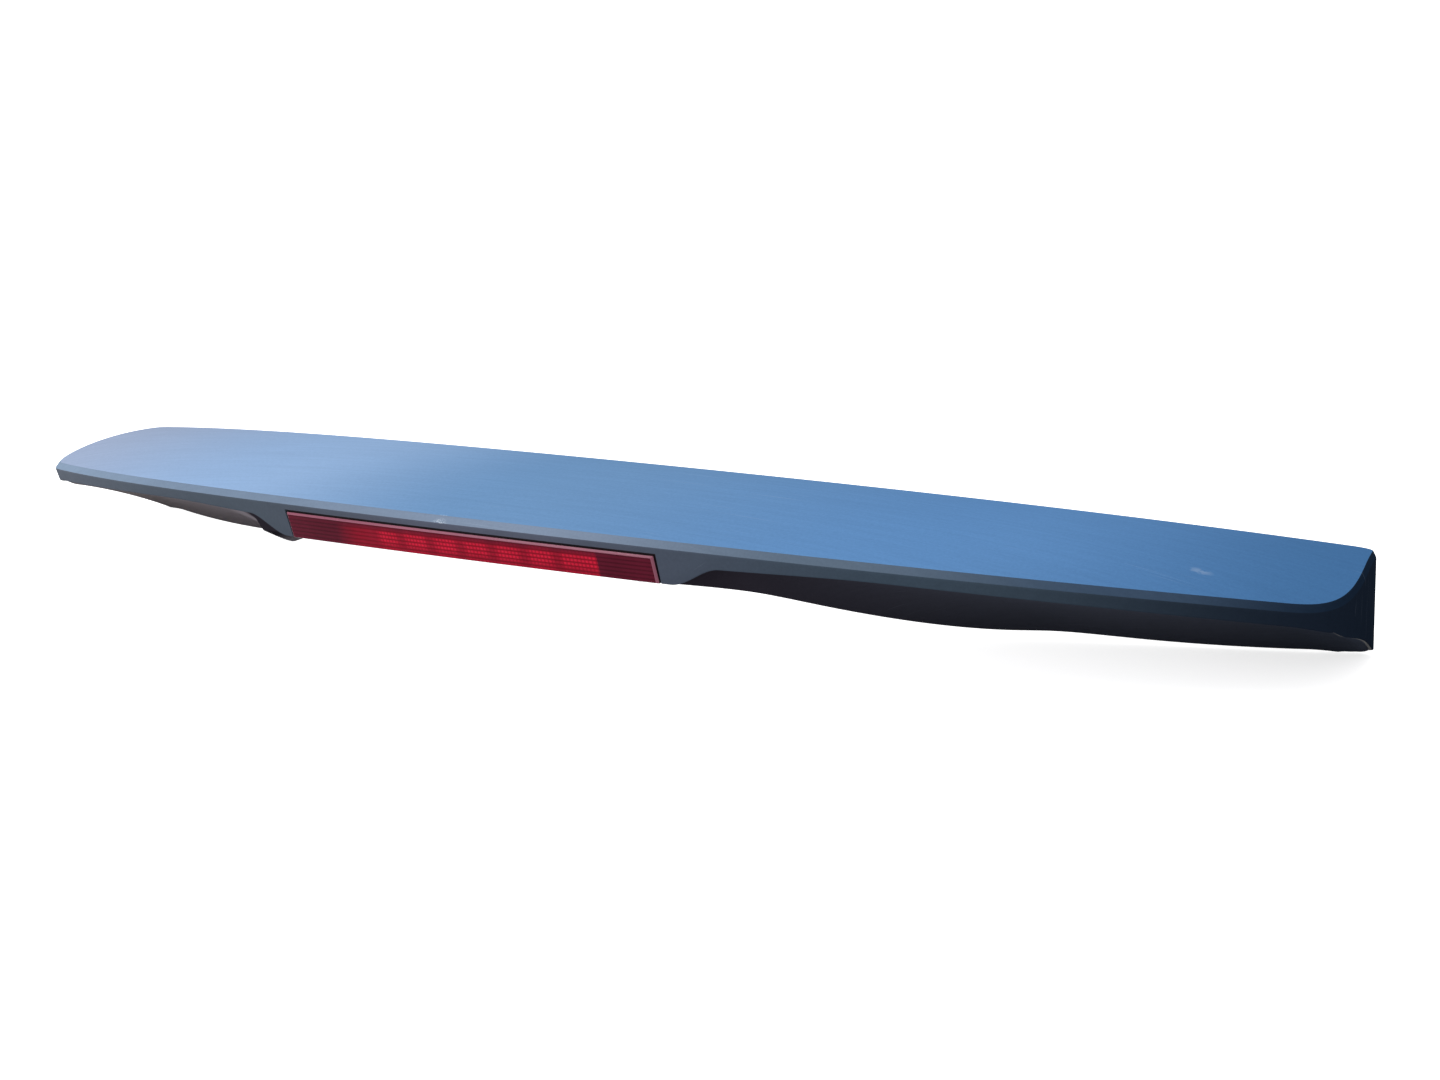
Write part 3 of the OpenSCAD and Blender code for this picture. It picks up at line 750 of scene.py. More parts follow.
@dataclass(frozen=True)
class Moulding:
    """Moulded plastic or rubber with a fine grain."""

    name: str
    colour: Colour
    second: Colour
    roughness: float = 0.5
    specular: float = 0.3
    grain: float = 900.0
    depth: float = 0.08
    metallic: float = 0.0
    shift: float = 8.0
    grain_height: float = 0.0003
    gloss_scale: float = 6.0
    gloss_range: tuple[float, float] = (-0.06, 0.08)

    def material(self) -> bpy.types.Material:
        """Make the material.

        Returns:
            The node material.
        """
        b = Bench(self.name)
        colour = b.mix(b.remap(b.noise(Cloud(self.shift, 4.0)), *BLEND_RANGE), self.colour, self.second)
        rough = b.spread(Cloud(self.shift * self.gloss_scale, 4.0),
                         *(self.roughness + step for step in self.gloss_range))
        b.set(Base_Color=colour, Roughness=rough, Specular_IOR_Level=self.specular, Metallic=self.metallic)
        b.bump(b.noise(Cloud(self.grain, 3.0)), self.depth, self.grain_height)
        return b.material


class LensZone(IntEnum):
    """Places of the lens that have a finish of their own."""

    FACE = 0
    RIM = 1
    EDGE = 2


@dataclass(frozen=True)
class LensRed:
    """Red plastic of the stop lamp, with a painted reflection of the row of reflector cells that lies behind
    its optics, and a painted glow round them.

    The cells stand where the photograph shows them, at one side of the middle, because they lie
    far behind the face. All lengths are in metres.
    """

    name: str = "lens_red"
    dark: Colour = srgb(79, 19, 35)
    # middle is the painted glow round the cells, and bright the painted reflection of the cells.
    middle: Colour = srgb(122, 18, 36)
    bright: Colour = srgb(182, 27, 50)
    clear: float = 0.03
    roughness: float = 0.3
    specular: float = 0.01
    index: float = 1.45
    pitch: float = 0.0274
    first: float = -0.0616
    cell_edge: tuple[float, float] = (0.27, 0.43)
    cell_gap: float = 0.25
    start: float = -0.074
    start_soft: float = 0.01
    halo: tuple[float, float] = (-0.038, -0.018)
    last_start: float = 0.0925
    last_soft: float = 0.001
    stop: float = 0.1200
    stop_soft: float = 0.0012
    row_top: tuple[float, float] = (-0.0165, -0.0145)
    row_low: tuple[float, float] = (-0.0262, -0.0236)
    warm_top: tuple[float, float] = (-0.0135, -0.0155)
    grid: float = 0.0030
    top_dim: float = 0.12
    low_dim: float = 0.34
    warm_dim: float = 0.25
    square_range: tuple[float, float] = (0.3, 0.85)
    square_dim: float = 0.3
    line_range: tuple[float, float, float, float] = (0.1, 0.9, 0.66, 1.1)
    mist_range: tuple[float, float] = (0.9, 1.1)
    peel: float = 0.03
    peel_height: float = 0.0002

    def material(self) -> bpy.types.Material:
        """Make the material.

        Returns:
            The node material.
        """
        b = Bench(self.name)
        x, rise = b.axis(0), b.layer("rise")
        turn = b.maths("DIVIDE", b.maths("SUBTRACT", x, self.first - self.pitch / 2), self.pitch)
        off = b.maths("ABSOLUTE", b.maths("SUBTRACT", b.maths("FRACT", turn), 0.5))
        cell = b.maths("MAXIMUM", b.remap(off, *self.cell_edge, 1.0, self.cell_gap),
                       b.remap(x, self.last_start, self.last_start + self.last_soft))
        stop = b.remap(x, self.stop, self.stop + self.stop_soft, 1.0, 0.0)
        reach = b.product(b.remap(x, self.start, self.start + self.start_soft), stop)
        halo = b.product(b.remap(x, *(self.start + edge for edge in self.halo)), stop)
        high = b.product(b.remap(rise, *self.row_top, 1.0, self.top_dim),
                         b.remap(rise, *self.row_low, self.low_dim, 1.0))
        across, up = (self._wave(b, value) for value in (x, rise))
        squares = b.product(*(b.remap(wave, *self.square_range) for wave in (across, up)))
        lit = b.product(high, b.remap(squares, 0.0, 1.0, self.square_dim, 1.0))
        glow = b.product(b.product(cell, reach), lit)
        warm = b.product(halo, b.remap(rise, *self.warm_top, self.warm_dim, 1.0))
        # Painted reflection and glow: bright cells and a paler red round them, over the lens's own dark red.
        colour = b.mix(glow, b.mix(warm, self.dark, self.middle), self.bright)
        lines, mist = b.remap(up, *self.line_range), b.spread(MIST, *self.mist_range)
        b.set(Base_Color=b.shade(colour, b.product(lines, mist)), Roughness=self.roughness,
              IOR=self.index, Transmission_Weight=self.clear, Specular_IOR_Level=self.specular)
        b.bump(b.noise(LENS_PEEL), self.peel, self.peel_height)
        return b.material

    def _wave(self, b: Bench, value: bpy.types.NodeSocket) -> bpy.types.NodeSocket:
        """Row of pillows along a value, from 0 to 1."""
        return b.maths("ABSOLUTE", b.maths("SINE", b.product(value, math.pi / self.grid)))


class SkinPart(IntEnum):
    """Places of the painted skin that have a finish of their own: one lacquer under different painted
    reflection and shade.
    """

    TOP = 0
    BEVEL = 1
    FACE = 2
    INSIDE = 3


@dataclass
class SkinShell:
    """The painted top skin with its bevelled lip, pod face and rounded ends."""

    form: WingForm
    at: Stations
    lamp_top: float = 8.3
    crease_round: float = 1.0
    edge_round: float = 0.9
    foot_round: float = 1.1
    lamp_room: float = 2.0
    knee_run: float = 3.0
    foot_rise: float = 2.5
    foot_run: float = 6.0
    inner_pull: float = 0.45
    face_cuts: tuple[float, float] = (0.35, 0.75)
    bevel_rows: int = 7
    upper_rows: int = 12
    upper_rows_inside: int = 3
    chord_cuts: tuple[float, ...] = (0, 0.02, 0.06, 0.13, 0.22, 0.33, 0.44, 0.56, 0.67, 0.78, 0.87,
                                     0.94, 0.98, 1)

    def side(self, edge: np.ndarray, out: np.ndarray, bevel, drop, lean, height,
             t: float) -> list[np.ndarray]:
        """Chain of points down one side of the skin.

        Args:
            edge: Plan points of the crease.
            out: Plan vectors that point outwards.
            bevel: Step of the bevel.
            drop: Height of the bevel.
            lean: Lean of the face for each millimetre.
            height: Height of the face under the crease.
            t: 0 for the outer side, or the wall for the inner one.

        Returns:
            Arrays of points, from the top to the foot.
        """
        top = self.form.top_z(edge)
        full = np.ones(len(edge))
        bevel, drop, lean, height = bevel * full, drop * full, lean * full, height * full

        def at(step, z) -> np.ndarray:
            """Point at a step out of the crease and a height over it."""
            return joined(edge + out * np.asarray(step * full)[:, None], top + z)

        def face(h) -> np.ndarray:
            """Point of the face at a height under the crease."""
            return at(bevel - t - lean * (h - drop), -h)

        middle = np.minimum(self.lamp_top, height - self.lamp_room)
        if t > 0:
            pull = self.inner_pull * t
            return [at(-pull, -t), at(bevel - t, -drop - pull), face(middle), face(height)]
        inset = edge - out * self.crease_round
        start = joined(inset, self.form.top_z(inset))
        crease, foot = at(0, 0), face(height)
        knee = at(bevel, -drop)
        under = at(bevel - lean * (height - drop) - self.form.wall, -height)
        return (fillet(start, crease, knee, self.crease_round)
                + fillet(crease, knee, face(drop + self.knee_run), self.edge_round)
                + [face(lerp(drop + self.knee_run / 2, middle, 0.5)), face(middle)]
                + [face(lerp(middle, height - self.foot_rise, k)) for k in self.face_cuts]
                + fillet(face(height - self.foot_run), foot, under, self.foot_round))

    def build(self, finishes: list[bpy.types.Material]) -> bpy.types.Object:
        """Build the skin.

        Args:
            finishes: Finishes in the order of SkinPart.

        Returns:
            The piece that stands for the skin.
        """
        form, at = self.form, self.at
        cloth = Fabric(form.origin)
        v = np.array(self.chord_cuts)[None, :, None]
        feet, insides = [], []
        for t in (0.0, form.wall):
            rear = self.side(at.rear, at.rear_out, at.rear_bevel, form.bevel_drop, at.lean, at.lip, t)
            front = self.side(at.front, at.front_out, at.front_bevel, at.front_drop,
                              form.end_lean * at.front_share, at.flange, t)
            last = lerp(at.rear[-1], at.front[-1], np.array(self.chord_cuts)[:, None])
            end = self.side(last, np.repeat(at.rear_out[-1:], len(last), 0), form.end_bevel,
                            form.bevel_drop, form.end_lean, form.end_drop(last), t)
            rows = lerp(rear[0][:, None, :], front[0][:, None, :], v)
            rows[..., 2] = form.top_z(rows[..., :2]) - t
            rows[:, 0], rows[:, -1], rows[-1] = rear[0], front[0], end[0]
            cloth.grid(rows, SkinPart.INSIDE if t else SkinPart.TOP, both=True)
            cut = self.upper_rows_inside if t else self.upper_rows
            for chain in (front, end):
                self._strip(cloth, chain, t)
            self._strip(cloth, rear[:cut], t)
            self._strip(cloth, [c[at.lamp_end:] for c in rear[cut - 1:]], t, lower=True)
            feet.append((rear[cut - 1][:at.lamp_end + 1], rear[-1][at.lamp_end:], front[-1], end[-1]))
            insides.append([c[at.lamp_end] for c in rear[cut - 1:]])
        for outer, inner in zip(*feet):
            cloth.grid(np.stack([outer, inner], 1), SkinPart.INSIDE, both=True)
        self._opening_end(cloth, insides)
        return cloth.finish("skin_shell", finishes)

    def _strip(self, cloth: Fabric, chain: list[np.ndarray], t: float, lower: bool = False) -> None:
        """Add the faces down one side.

        Args:
            cloth: The patches so far.
            chain: Arrays of points from top to foot.
            t: 0 for the outer side.
            lower: True for the part of the face under the lamp opening's top.
        """
        rows = np.stack(chain, 1)
        if t:
            cloth.grid(rows, SkinPart.INSIDE, both=True)
        elif lower:
            cloth.grid(rows, SkinPart.FACE, both=True)
        else:
            cloth.grid(rows[:, :self.bevel_rows], SkinPart.BEVEL, both=True)
            cloth.grid(rows[:, self.bevel_rows - 1:], SkinPart.FACE, both=True)

    @staticmethod
    def _opening_end(cloth: Fabric, insides: list[list[np.ndarray]]) -> None:
        """Close the wall's cut at the end of the lamp opening.

        Args:
            cloth: The patches so far.
            insides: Points down the cut, of the outer and the inner side.
        """
        outer, inner = (np.array(side) for side in insides)
        cloth.polygon(np.concatenate([outer, inner[::-1]]), SkinPart.FACE, both=True)


class ShellPart(IntEnum):
    """Places of the lower shell that have a finish of their own."""

    OUTSIDE = 0
    INSIDE = 1
    AHEAD = 2


@dataclass
class LowerShell:
    """The dark lower shell: hollow rear wall, base, front wall and rounded ends."""

    form: WingForm
    at: Stations
    foot_round: float = 3.0
    wall_cuts: int = 10
    boss_r: float = 9.5
    boss_len: float = 17.0
    insert_hole_r: float = 5.25
    insert_floor: float = 4.0
    edge_break: float = 0.4
    pin_x: float = 500.0
    pin_r: float = 4.0
    pin_len: float = 12.0
    pin_break: float = 0.5
    pin_groove: float = 0.8
    pin_taper: float = 1.6
    pad_x: float = 111.0
    pad_seat_r: float = 8.0
    pad_seat_rise: float = 1.2
    pad_inset: float = 0.5
    pad_len: float = 6.0
    screw_x: float = 134.0
    screw_in: float = 25.0
    screw_gap: float = 0.4
    screw_boss: tuple[tuple[float, float], ...] = ((5.0, 5.6), (5.0, 0.3), (4.7, 0), (1.7, 0), (1.7, 5.4))
    arch_soft: float = 0.04
    limit_soft: float = 0.06
    depth_soft: float = 4.0
    end_under: float = 1.2
    base_cuts: int = 6
    hollow_peak: float = 5.4
    hollow_fall: float = 2.66
    inner_foot: float = 0.2
    inner_lap: tuple[float, float] = (0.35, 0.9)

    def chain(self, t: float) -> tuple[list[np.ndarray], list[np.ndarray]]:
        """Points of the rear and the front side of every section.

        Args:
            t: 0 for the outer side, or the wall for the inner one.

        Returns:
            The rear side and the front side, both from the top to the base.
        """
        form, at = self.form, self.at

        def rear(h, z, t_out) -> np.ndarray:
            """Point behind the lip's face."""
            step = at.rear_bevel - t_out - at.lean * (h - form.bevel_drop)
            return joined(at.rear + at.rear_out * step[:, None], form.top_z(at.rear) + z)

        def front(h, z, t_out) -> np.ndarray:
            """Point behind the flange."""
            step = at.front_bevel - t_out - form.end_lean * at.front_share * (h - at.front_drop)
            return joined(at.front + at.front_out * step[:, None], form.top_z(at.front) + z)

        a_share = at.rear[:, 0] / form.wing_half
        short = np.minimum(a_share, form.share_station) - form.share_station
        arch = form.wall_share * (1 - (short / form.share_spread) ** 2)
        share = soft_min(form.foot_limit, soft_max(form.pod_share, arch, self.arch_soft), self.limit_soft)
        foot = lerp(at.rear, at.front, lerp(share, form.end_foot, at.end_share)[:, None])
        foot = foot - at.rear_out * (form.end_inset * at.end_share)[:, None]
        spread = np.where(a_share < form.deep_station, form.deep_rise, form.deep_spread)
        deep = form.shell_depth * (1 - ((a_share - form.deep_station) / spread) ** 2)
        depth = soft_max(form.pod_depth, deep, self.depth_soft)

        def base(plan: np.ndarray) -> np.ndarray:
            """Height of the base over plan points."""
            step = form.end_step * (1 - at.turned(Turn.BASE)) - self.end_under * at.turned(Turn.BASE)
            sag = form.end_sag * 4 * at.end_share * (1 - at.end_share)
            return lerp(form.crown_z(plan[:, 0]) - depth,
                        form.top_z(plan) - form.end_drop(plan) - step, at.end_share) - sag + t

        hollow = form.wall_hollow * (1 - form.pod_at(at.rear[:, 0])) * (1 - at.end_share)
        a = rear(at.lip, t - at.lip, form.wall + t)
        c = joined(foot + [0, self.inner_foot * t], base(foot))
        lap_in, lap_up = (share * t for share in self.inner_lap)
        top = rear(at.lip - form.lap, form.lap - at.lip + lap_up, form.wall + lap_in)
        back = [top, a]
        for k in range(1, self.wall_cuts):
            w = k / self.wall_cuts
            p = lerp(a, c, w)
            p[:, 2] += hollow * w * (1 - w) * (self.hollow_peak - self.hollow_fall * w)
            back.append(p)
        g = front(at.flange, 0, form.wall + t)
        g[:, 2] = base(at.front)
        e = front(at.flange, -at.flange, form.wall + t)
        upper = front(at.flange - form.lap, form.lap - at.flange, form.wall + t)
        face = [upper, e] + [lerp(e, g, k / self.wall_cuts) for k in range(1, self.wall_cuts)]
        if t > 0:
            return back + [c], face + [g]
        return (back[:-1] + fillet(back[-1], c, g, self.foot_round),
                face[:-1] + fillet(face[-1], g, c, self.foot_round))

    def build(self, finish: bpy.types.Material, inside: bpy.types.Material,
              ahead: bpy.types.Material) -> bpy.types.Object:
        """Build the lower shell.

        Args:
            finish: Finish of the outer side.
            inside: Finish of the inner side.
            ahead: Finish of the front wall's outer side.

        Returns:
            The piece that stands for the shell.
        """
        cloth = Fabric(self.form.origin)
        rims = []
        for mark, t in ((ShellPart.OUTSIDE, 0.0), (ShellPart.INSIDE, self.form.wall)):
            back, face = self.chain(t)
            for side, spot in ((back, mark), (face, mark or ShellPart.AHEAD)):
                cloth.grid(np.stack(side, 1), spot, both=True)
            low = np.stack([lerp(back[-1], face[-1], k / self.base_cuts)
                            for k in range(self.base_cuts + 1)], 1)
            cloth.grid(low, mark, both=True)
            ladder = np.stack([np.stack([b[-1], f[-1]]) for b, f in zip(back, face)])
            cloth.grid(ladder[:-1], mark, both=True)
            ring = np.concatenate([ladder[-2][:1], low[-1], ladder[-2][1:]])
            cloth.polygon(ring, mark, both=True)
            rims.append((back[0], face[0], ladder[0]))
        for outer, inner in zip(*rims):
            cloth.grid(np.stack([outer, inner], 1), ShellPart.INSIDE, both=True)
        self._seats(cloth)
        return cloth.finish("lower_shell_form", [finish, inside, ahead])

    def _seats(self, cloth: Fabric) -> None:
        """Add the stud bosses, the locating pins, and the seats of the pads and the lamp screws.

        Args:
            cloth: The patches so far.
        """
        form = self.form
        back = Matrix.Rotation(-math.pi / 2, 3, "X")
        boss = ((self.boss_r, -self.boss_len), (self.boss_r, -self.edge_break),
                (self.boss_r - self.edge_break, 0), (self.insert_hole_r, 0),
                (self.insert_hole_r, self.insert_floor - self.boss_len))
        root_r, pin_r, top = self.pin_r + form.wall, self.pin_r, self.pin_len
        pin = ((root_r, -top), (root_r, -self.pin_break), (root_r - self.pin_break, 0),
               (pin_r + self.pin_groove, 0), (pin_r, self.pin_groove), (pin_r, top - self.pin_taper),
               (pin_r - self.pin_break, top - self.pin_break), (pin_r - self.pin_taper, top))
        pad = ((self.pad_seat_r, self.pad_len), (self.pad_seat_r, self.edge_break),
               (self.pad_seat_r - self.edge_break, 0))
        turned = [(x, drop, boss) for x, drop in form.stud_seats] + [(self.pin_x, form.outer_stud_drop, pin)]
        for side in (-1, 1):
            for x, drop, profile in turned:
                self._lathe(cloth, form.wall_seat(side * x, drop), profile, back)
            y = form.front_y(self.pad_x) - form.wall - self.pad_seat_r - self.pad_inset
            z = form.crown_z(self.pad_x) - form.pod_depth - self.pad_seat_rise
            self._lathe(cloth, np.array([side * self.pad_x, y, z]), pad, Matrix.Identity(3))
            y = form.rear_y(self.screw_x) + self.screw_in
            z = form.crown_z(self.screw_x) - form.pod_depth - self.screw_gap
            self._lathe(cloth, np.array([side * self.screw_x, y, z]), self.screw_boss, Matrix.Identity(3))

    @staticmethod
    def _lathe(cloth: Fabric, seat: np.ndarray, profile: tuple[tuple[float, float], ...],
               turn: Matrix) -> None:
        """Turn one small form round its own axis.

        Args:
            cloth: The patches so far.
            seat: Place of its seat.
            profile: Radius and height of each step.
            turn: Rotation of its axis from straight up.
        """
        a = np.linspace(0, 2 * math.pi, ROUND_SIDES, endpoint=False)
        rings = [np.stack([r * np.cos(a), r * np.sin(a), np.full(len(a), h)], -1) for r, h in profile]
        cloth.bar(np.stack(rings) @ np.array(turn).T + seat)


class Growth(Wiring):
    """Builds one geometry tree, and runs it on an object."""

    def __init__(self, name: str) -> None:
        """Start a tree with one geometry going in and one coming out.

        Args:
            name: Name of the tree.
        """
        super().__init__(bpy.data.node_groups.new(name, "GeometryNodeTree"))
        for way in ("INPUT", "OUTPUT"):
            self.tree.interface.new_socket("Geometry", in_out=way, socket_type="NodeSocketGeometry")
        self.given = self.node("NodeGroupInput")
        self.result = self.node("NodeGroupOutput")
        self.values: dict[str, float] = {}

    def size(self, name: str, value: float) -> bpy.types.NodeSocket:
        """Add a named size to the tree's inputs."""
        item = self.tree.interface.new_socket(name, in_out="INPUT", socket_type="NodeSocketFloat")
        item.default_value = value
        self.values[item.identifier] = value
        return self.given.outputs[name]

    def lift(self, geometry: bpy.types.NodeSocket, height: bpy.types.NodeSocket) -> bpy.types.NodeSocket:
        """Move geometry up."""
        up = self.node("ShaderNodeCombineXYZ", {"Z": height}).outputs[0]
        return self.node("GeometryNodeTransform", {"Geometry": geometry, "Translation": up}).outputs[0]

    def run(self, obj: bpy.types.Object, geometry: bpy.types.NodeSocket, finish: bpy.types.Material,
            where: bpy.types.NodeSocket | bool = True) -> bpy.types.Object:
        """End the tree, run it, and keep its result as the object's own mesh.

        Args:
            obj: The object that carries the tree's input.
            geometry: The geometry to end with.
            finish: Material of the result.
            where: Faces that take the material.

        Returns:
            The same object with a plain mesh.
        """
        real = self.node("GeometryNodeRealizeInstances", {"Geometry": geometry}).outputs[0]
        dressed = self.node("GeometryNodeSetMaterial", {"Geometry": real, "Selection": where,
                                                        "Material": finish})
        self.plug(self.result.inputs[0], dressed.outputs[0])
        modifier = obj.modifiers.new("growth", "NODES")
        modifier.node_group = self.tree
        for identifier, value in self.values.items():
            modifier[identifier] = value
        graph = bpy.context.evaluated_depsgraph_get()
        grown = bpy.data.meshes.new_from_object(obj.evaluated_get(graph))
        obj.modifiers.remove(modifier)
        obj.data = grown
        log.info("%s: %d faces grown", obj.name, len(grown.polygons))
        return obj


def seed_object(name: str, points: np.ndarray, joined_up: bool = False) -> bpy.types.Object:
    """Make an object of bare points or of one open line, for a tree to grow on.

    Args:
        name: Name of the piece.
        points: Points in metres, in the shared frame.
        joined_up: True to join the points into a line.

    Returns:
        The object.
    """
    mesh = bpy.data.meshes.new(name)
    edges = [(i, i + 1) for i in range(len(points) - 1)] if joined_up else []
    mesh.from_pydata(np.asarray(points).tolist(), edges, [])
    obj = bpy.data.objects.new(name, mesh)
    bpy.context.scene.collection.objects.link(obj)
    return obj


@dataclass
class Fixings:
    """Threaded studs and the rubber edge seal on the front wall, in millimetres."""

    form: WingForm
    stud_r: float = 3.0
    stud_out: float = 20.0
    stud_in: float = 11.0
    pitch: float = 1.0
    thread: float = 0.45
    turn_cuts: int = 20
    ridge_sides: int = 4
    core_sides: int = 32
    seal_t: float = 3.0
    seal_h: float = 6.0
    seal_gap: float = 0.1
    seal_round: float = 1.3
    seal_drop: float = 3.2
    seal_short: float = 0.4
    seal_cuts: int = 90
    seal_round_cuts: int = 4

    def places(self) -> np.ndarray:
        """Seats of the four studs in metres."""
        form = self.form
        rows = [form.wall_seat(side * x, drop) for x, drop in form.stud_seats for side in (-1, 1)]
        return (np.array(rows) - form.origin) * MM

    def studs(self, finish: bpy.types.Material) -> bpy.types.Object:
        """Grow the threaded studs.

        Args:
            finish: Finish of the steel.

        Returns:
            The piece that stands for the studs.
        """
        g = Growth("thread_rule")
        radius = g.size("Radius", self.stud_r * MM)
        length = g.size("Length", (self.stud_in + self.stud_out) * MM)
        root = g.size("Depth in wall", self.stud_in * MM)
        pitch = g.size("Pitch", self.pitch * MM)
        depth = g.size("Thread depth", self.thread * MM)
        core_r = g.maths("SUBTRACT", radius, depth)
        turns = g.maths("DIVIDE", g.maths("SUBTRACT", length, g.product(pitch, 2.0)), pitch)
        spiral = g.node("GeometryNodeCurveSpiral", {
            "Resolution": self.turn_cuts, "Rotations": turns, "Start Radius": core_r,
            "End Radius": core_r, "Height": g.product(turns, pitch)})
        ridge = g.node("GeometryNodeCurvePrimitiveCircle", {"Resolution": self.ridge_sides, "Radius": depth})
        thread = g.node("GeometryNodeCurveToMesh", {
            "Curve": spiral.outputs[0], "Profile Curve": ridge.outputs[0], "Fill Caps": True})
        core = g.node("GeometryNodeMeshCylinder", {
            "Vertices": self.core_sides, "Radius": core_r, "Depth": length})
        stud = g.node("GeometryNodeJoinGeometry")
        for part, height in ((core, g.product(length, 0.5)), (thread, pitch)):
            g.tree.links.new(g.lift(part.outputs[0], height), stud.inputs[0])
        seated = g.lift(stud.outputs[0], g.product(root, -1.0))
        turned = g.node("GeometryNodeTransform", {"Geometry": seated, "Rotation": (-math.pi / 2, 0, 0)})
        points = g.node("GeometryNodeMeshToPoints", {"Mesh": g.given.outputs[0]})
        placed = g.node("GeometryNodeInstanceOnPoints", {"Points": points.outputs[0],
                                                         "Instance": turned.outputs[0]})
        return g.run(seed_object("threaded_studs", self.places()), placed.outputs[0], finish)

    def edge_seal(self, finish: bpy.types.Material) -> bpy.types.Object:
        """Grow the rubber strip along the front flange.

        Args:
            finish: Finish of the rubber.

        Returns:
            The piece that stands for the strip.
        """
        form = self.form
        fx = form.front_x(np.linspace(0, form.rear_start, self.seal_cuts))
        edge = np.stack([fx, form.front_y(fx)], -1)
        out = square_to(np.stack([np.full(len(fx), 2.0), form.front_y(fx + 1) - form.front_y(fx - 1)], -1))
        plan = edge + out * (form.front_round + (self.seal_gap + self.seal_t) / 2)
        half = joined(plan, form.top_z(edge) - self.seal_drop - self.seal_h / 2)
        line = np.concatenate([half[:0:-1] * [-1, 1, 1], half])
        g = Growth("seal_rule")
        thick = g.size("Thickness", (self.seal_t - self.seal_gap) * MM)
        height = g.size("Height", (self.seal_h - self.seal_short) * MM)
        rounding = g.size("Rounding", self.seal_round * MM)
        path = g.node("GeometryNodeMeshToCurve", {"Mesh": g.given.outputs[0]})
        level = g.node("GeometryNodeSetCurveNormal", {"Curve": path.outputs[0]}, mode="Z_UP")
        block = g.node("GeometryNodeCurvePrimitiveQuadrilateral", {"Width": thick, "Height": height})
        section = g.node("GeometryNodeFilletCurve", {
            "Curve": block.outputs[0], "Radius": rounding, "Count": self.seal_round_cuts}, mode="POLY")
        strip = g.node("GeometryNodeCurveToMesh", {
            "Curve": level.outputs[0], "Profile Curve": section.outputs[0], "Fill Caps": True})
        seed = seed_object("edge_strip", (line - form.origin) * MM, joined_up=True)
        return g.run(seed, strip.outputs[0], finish)


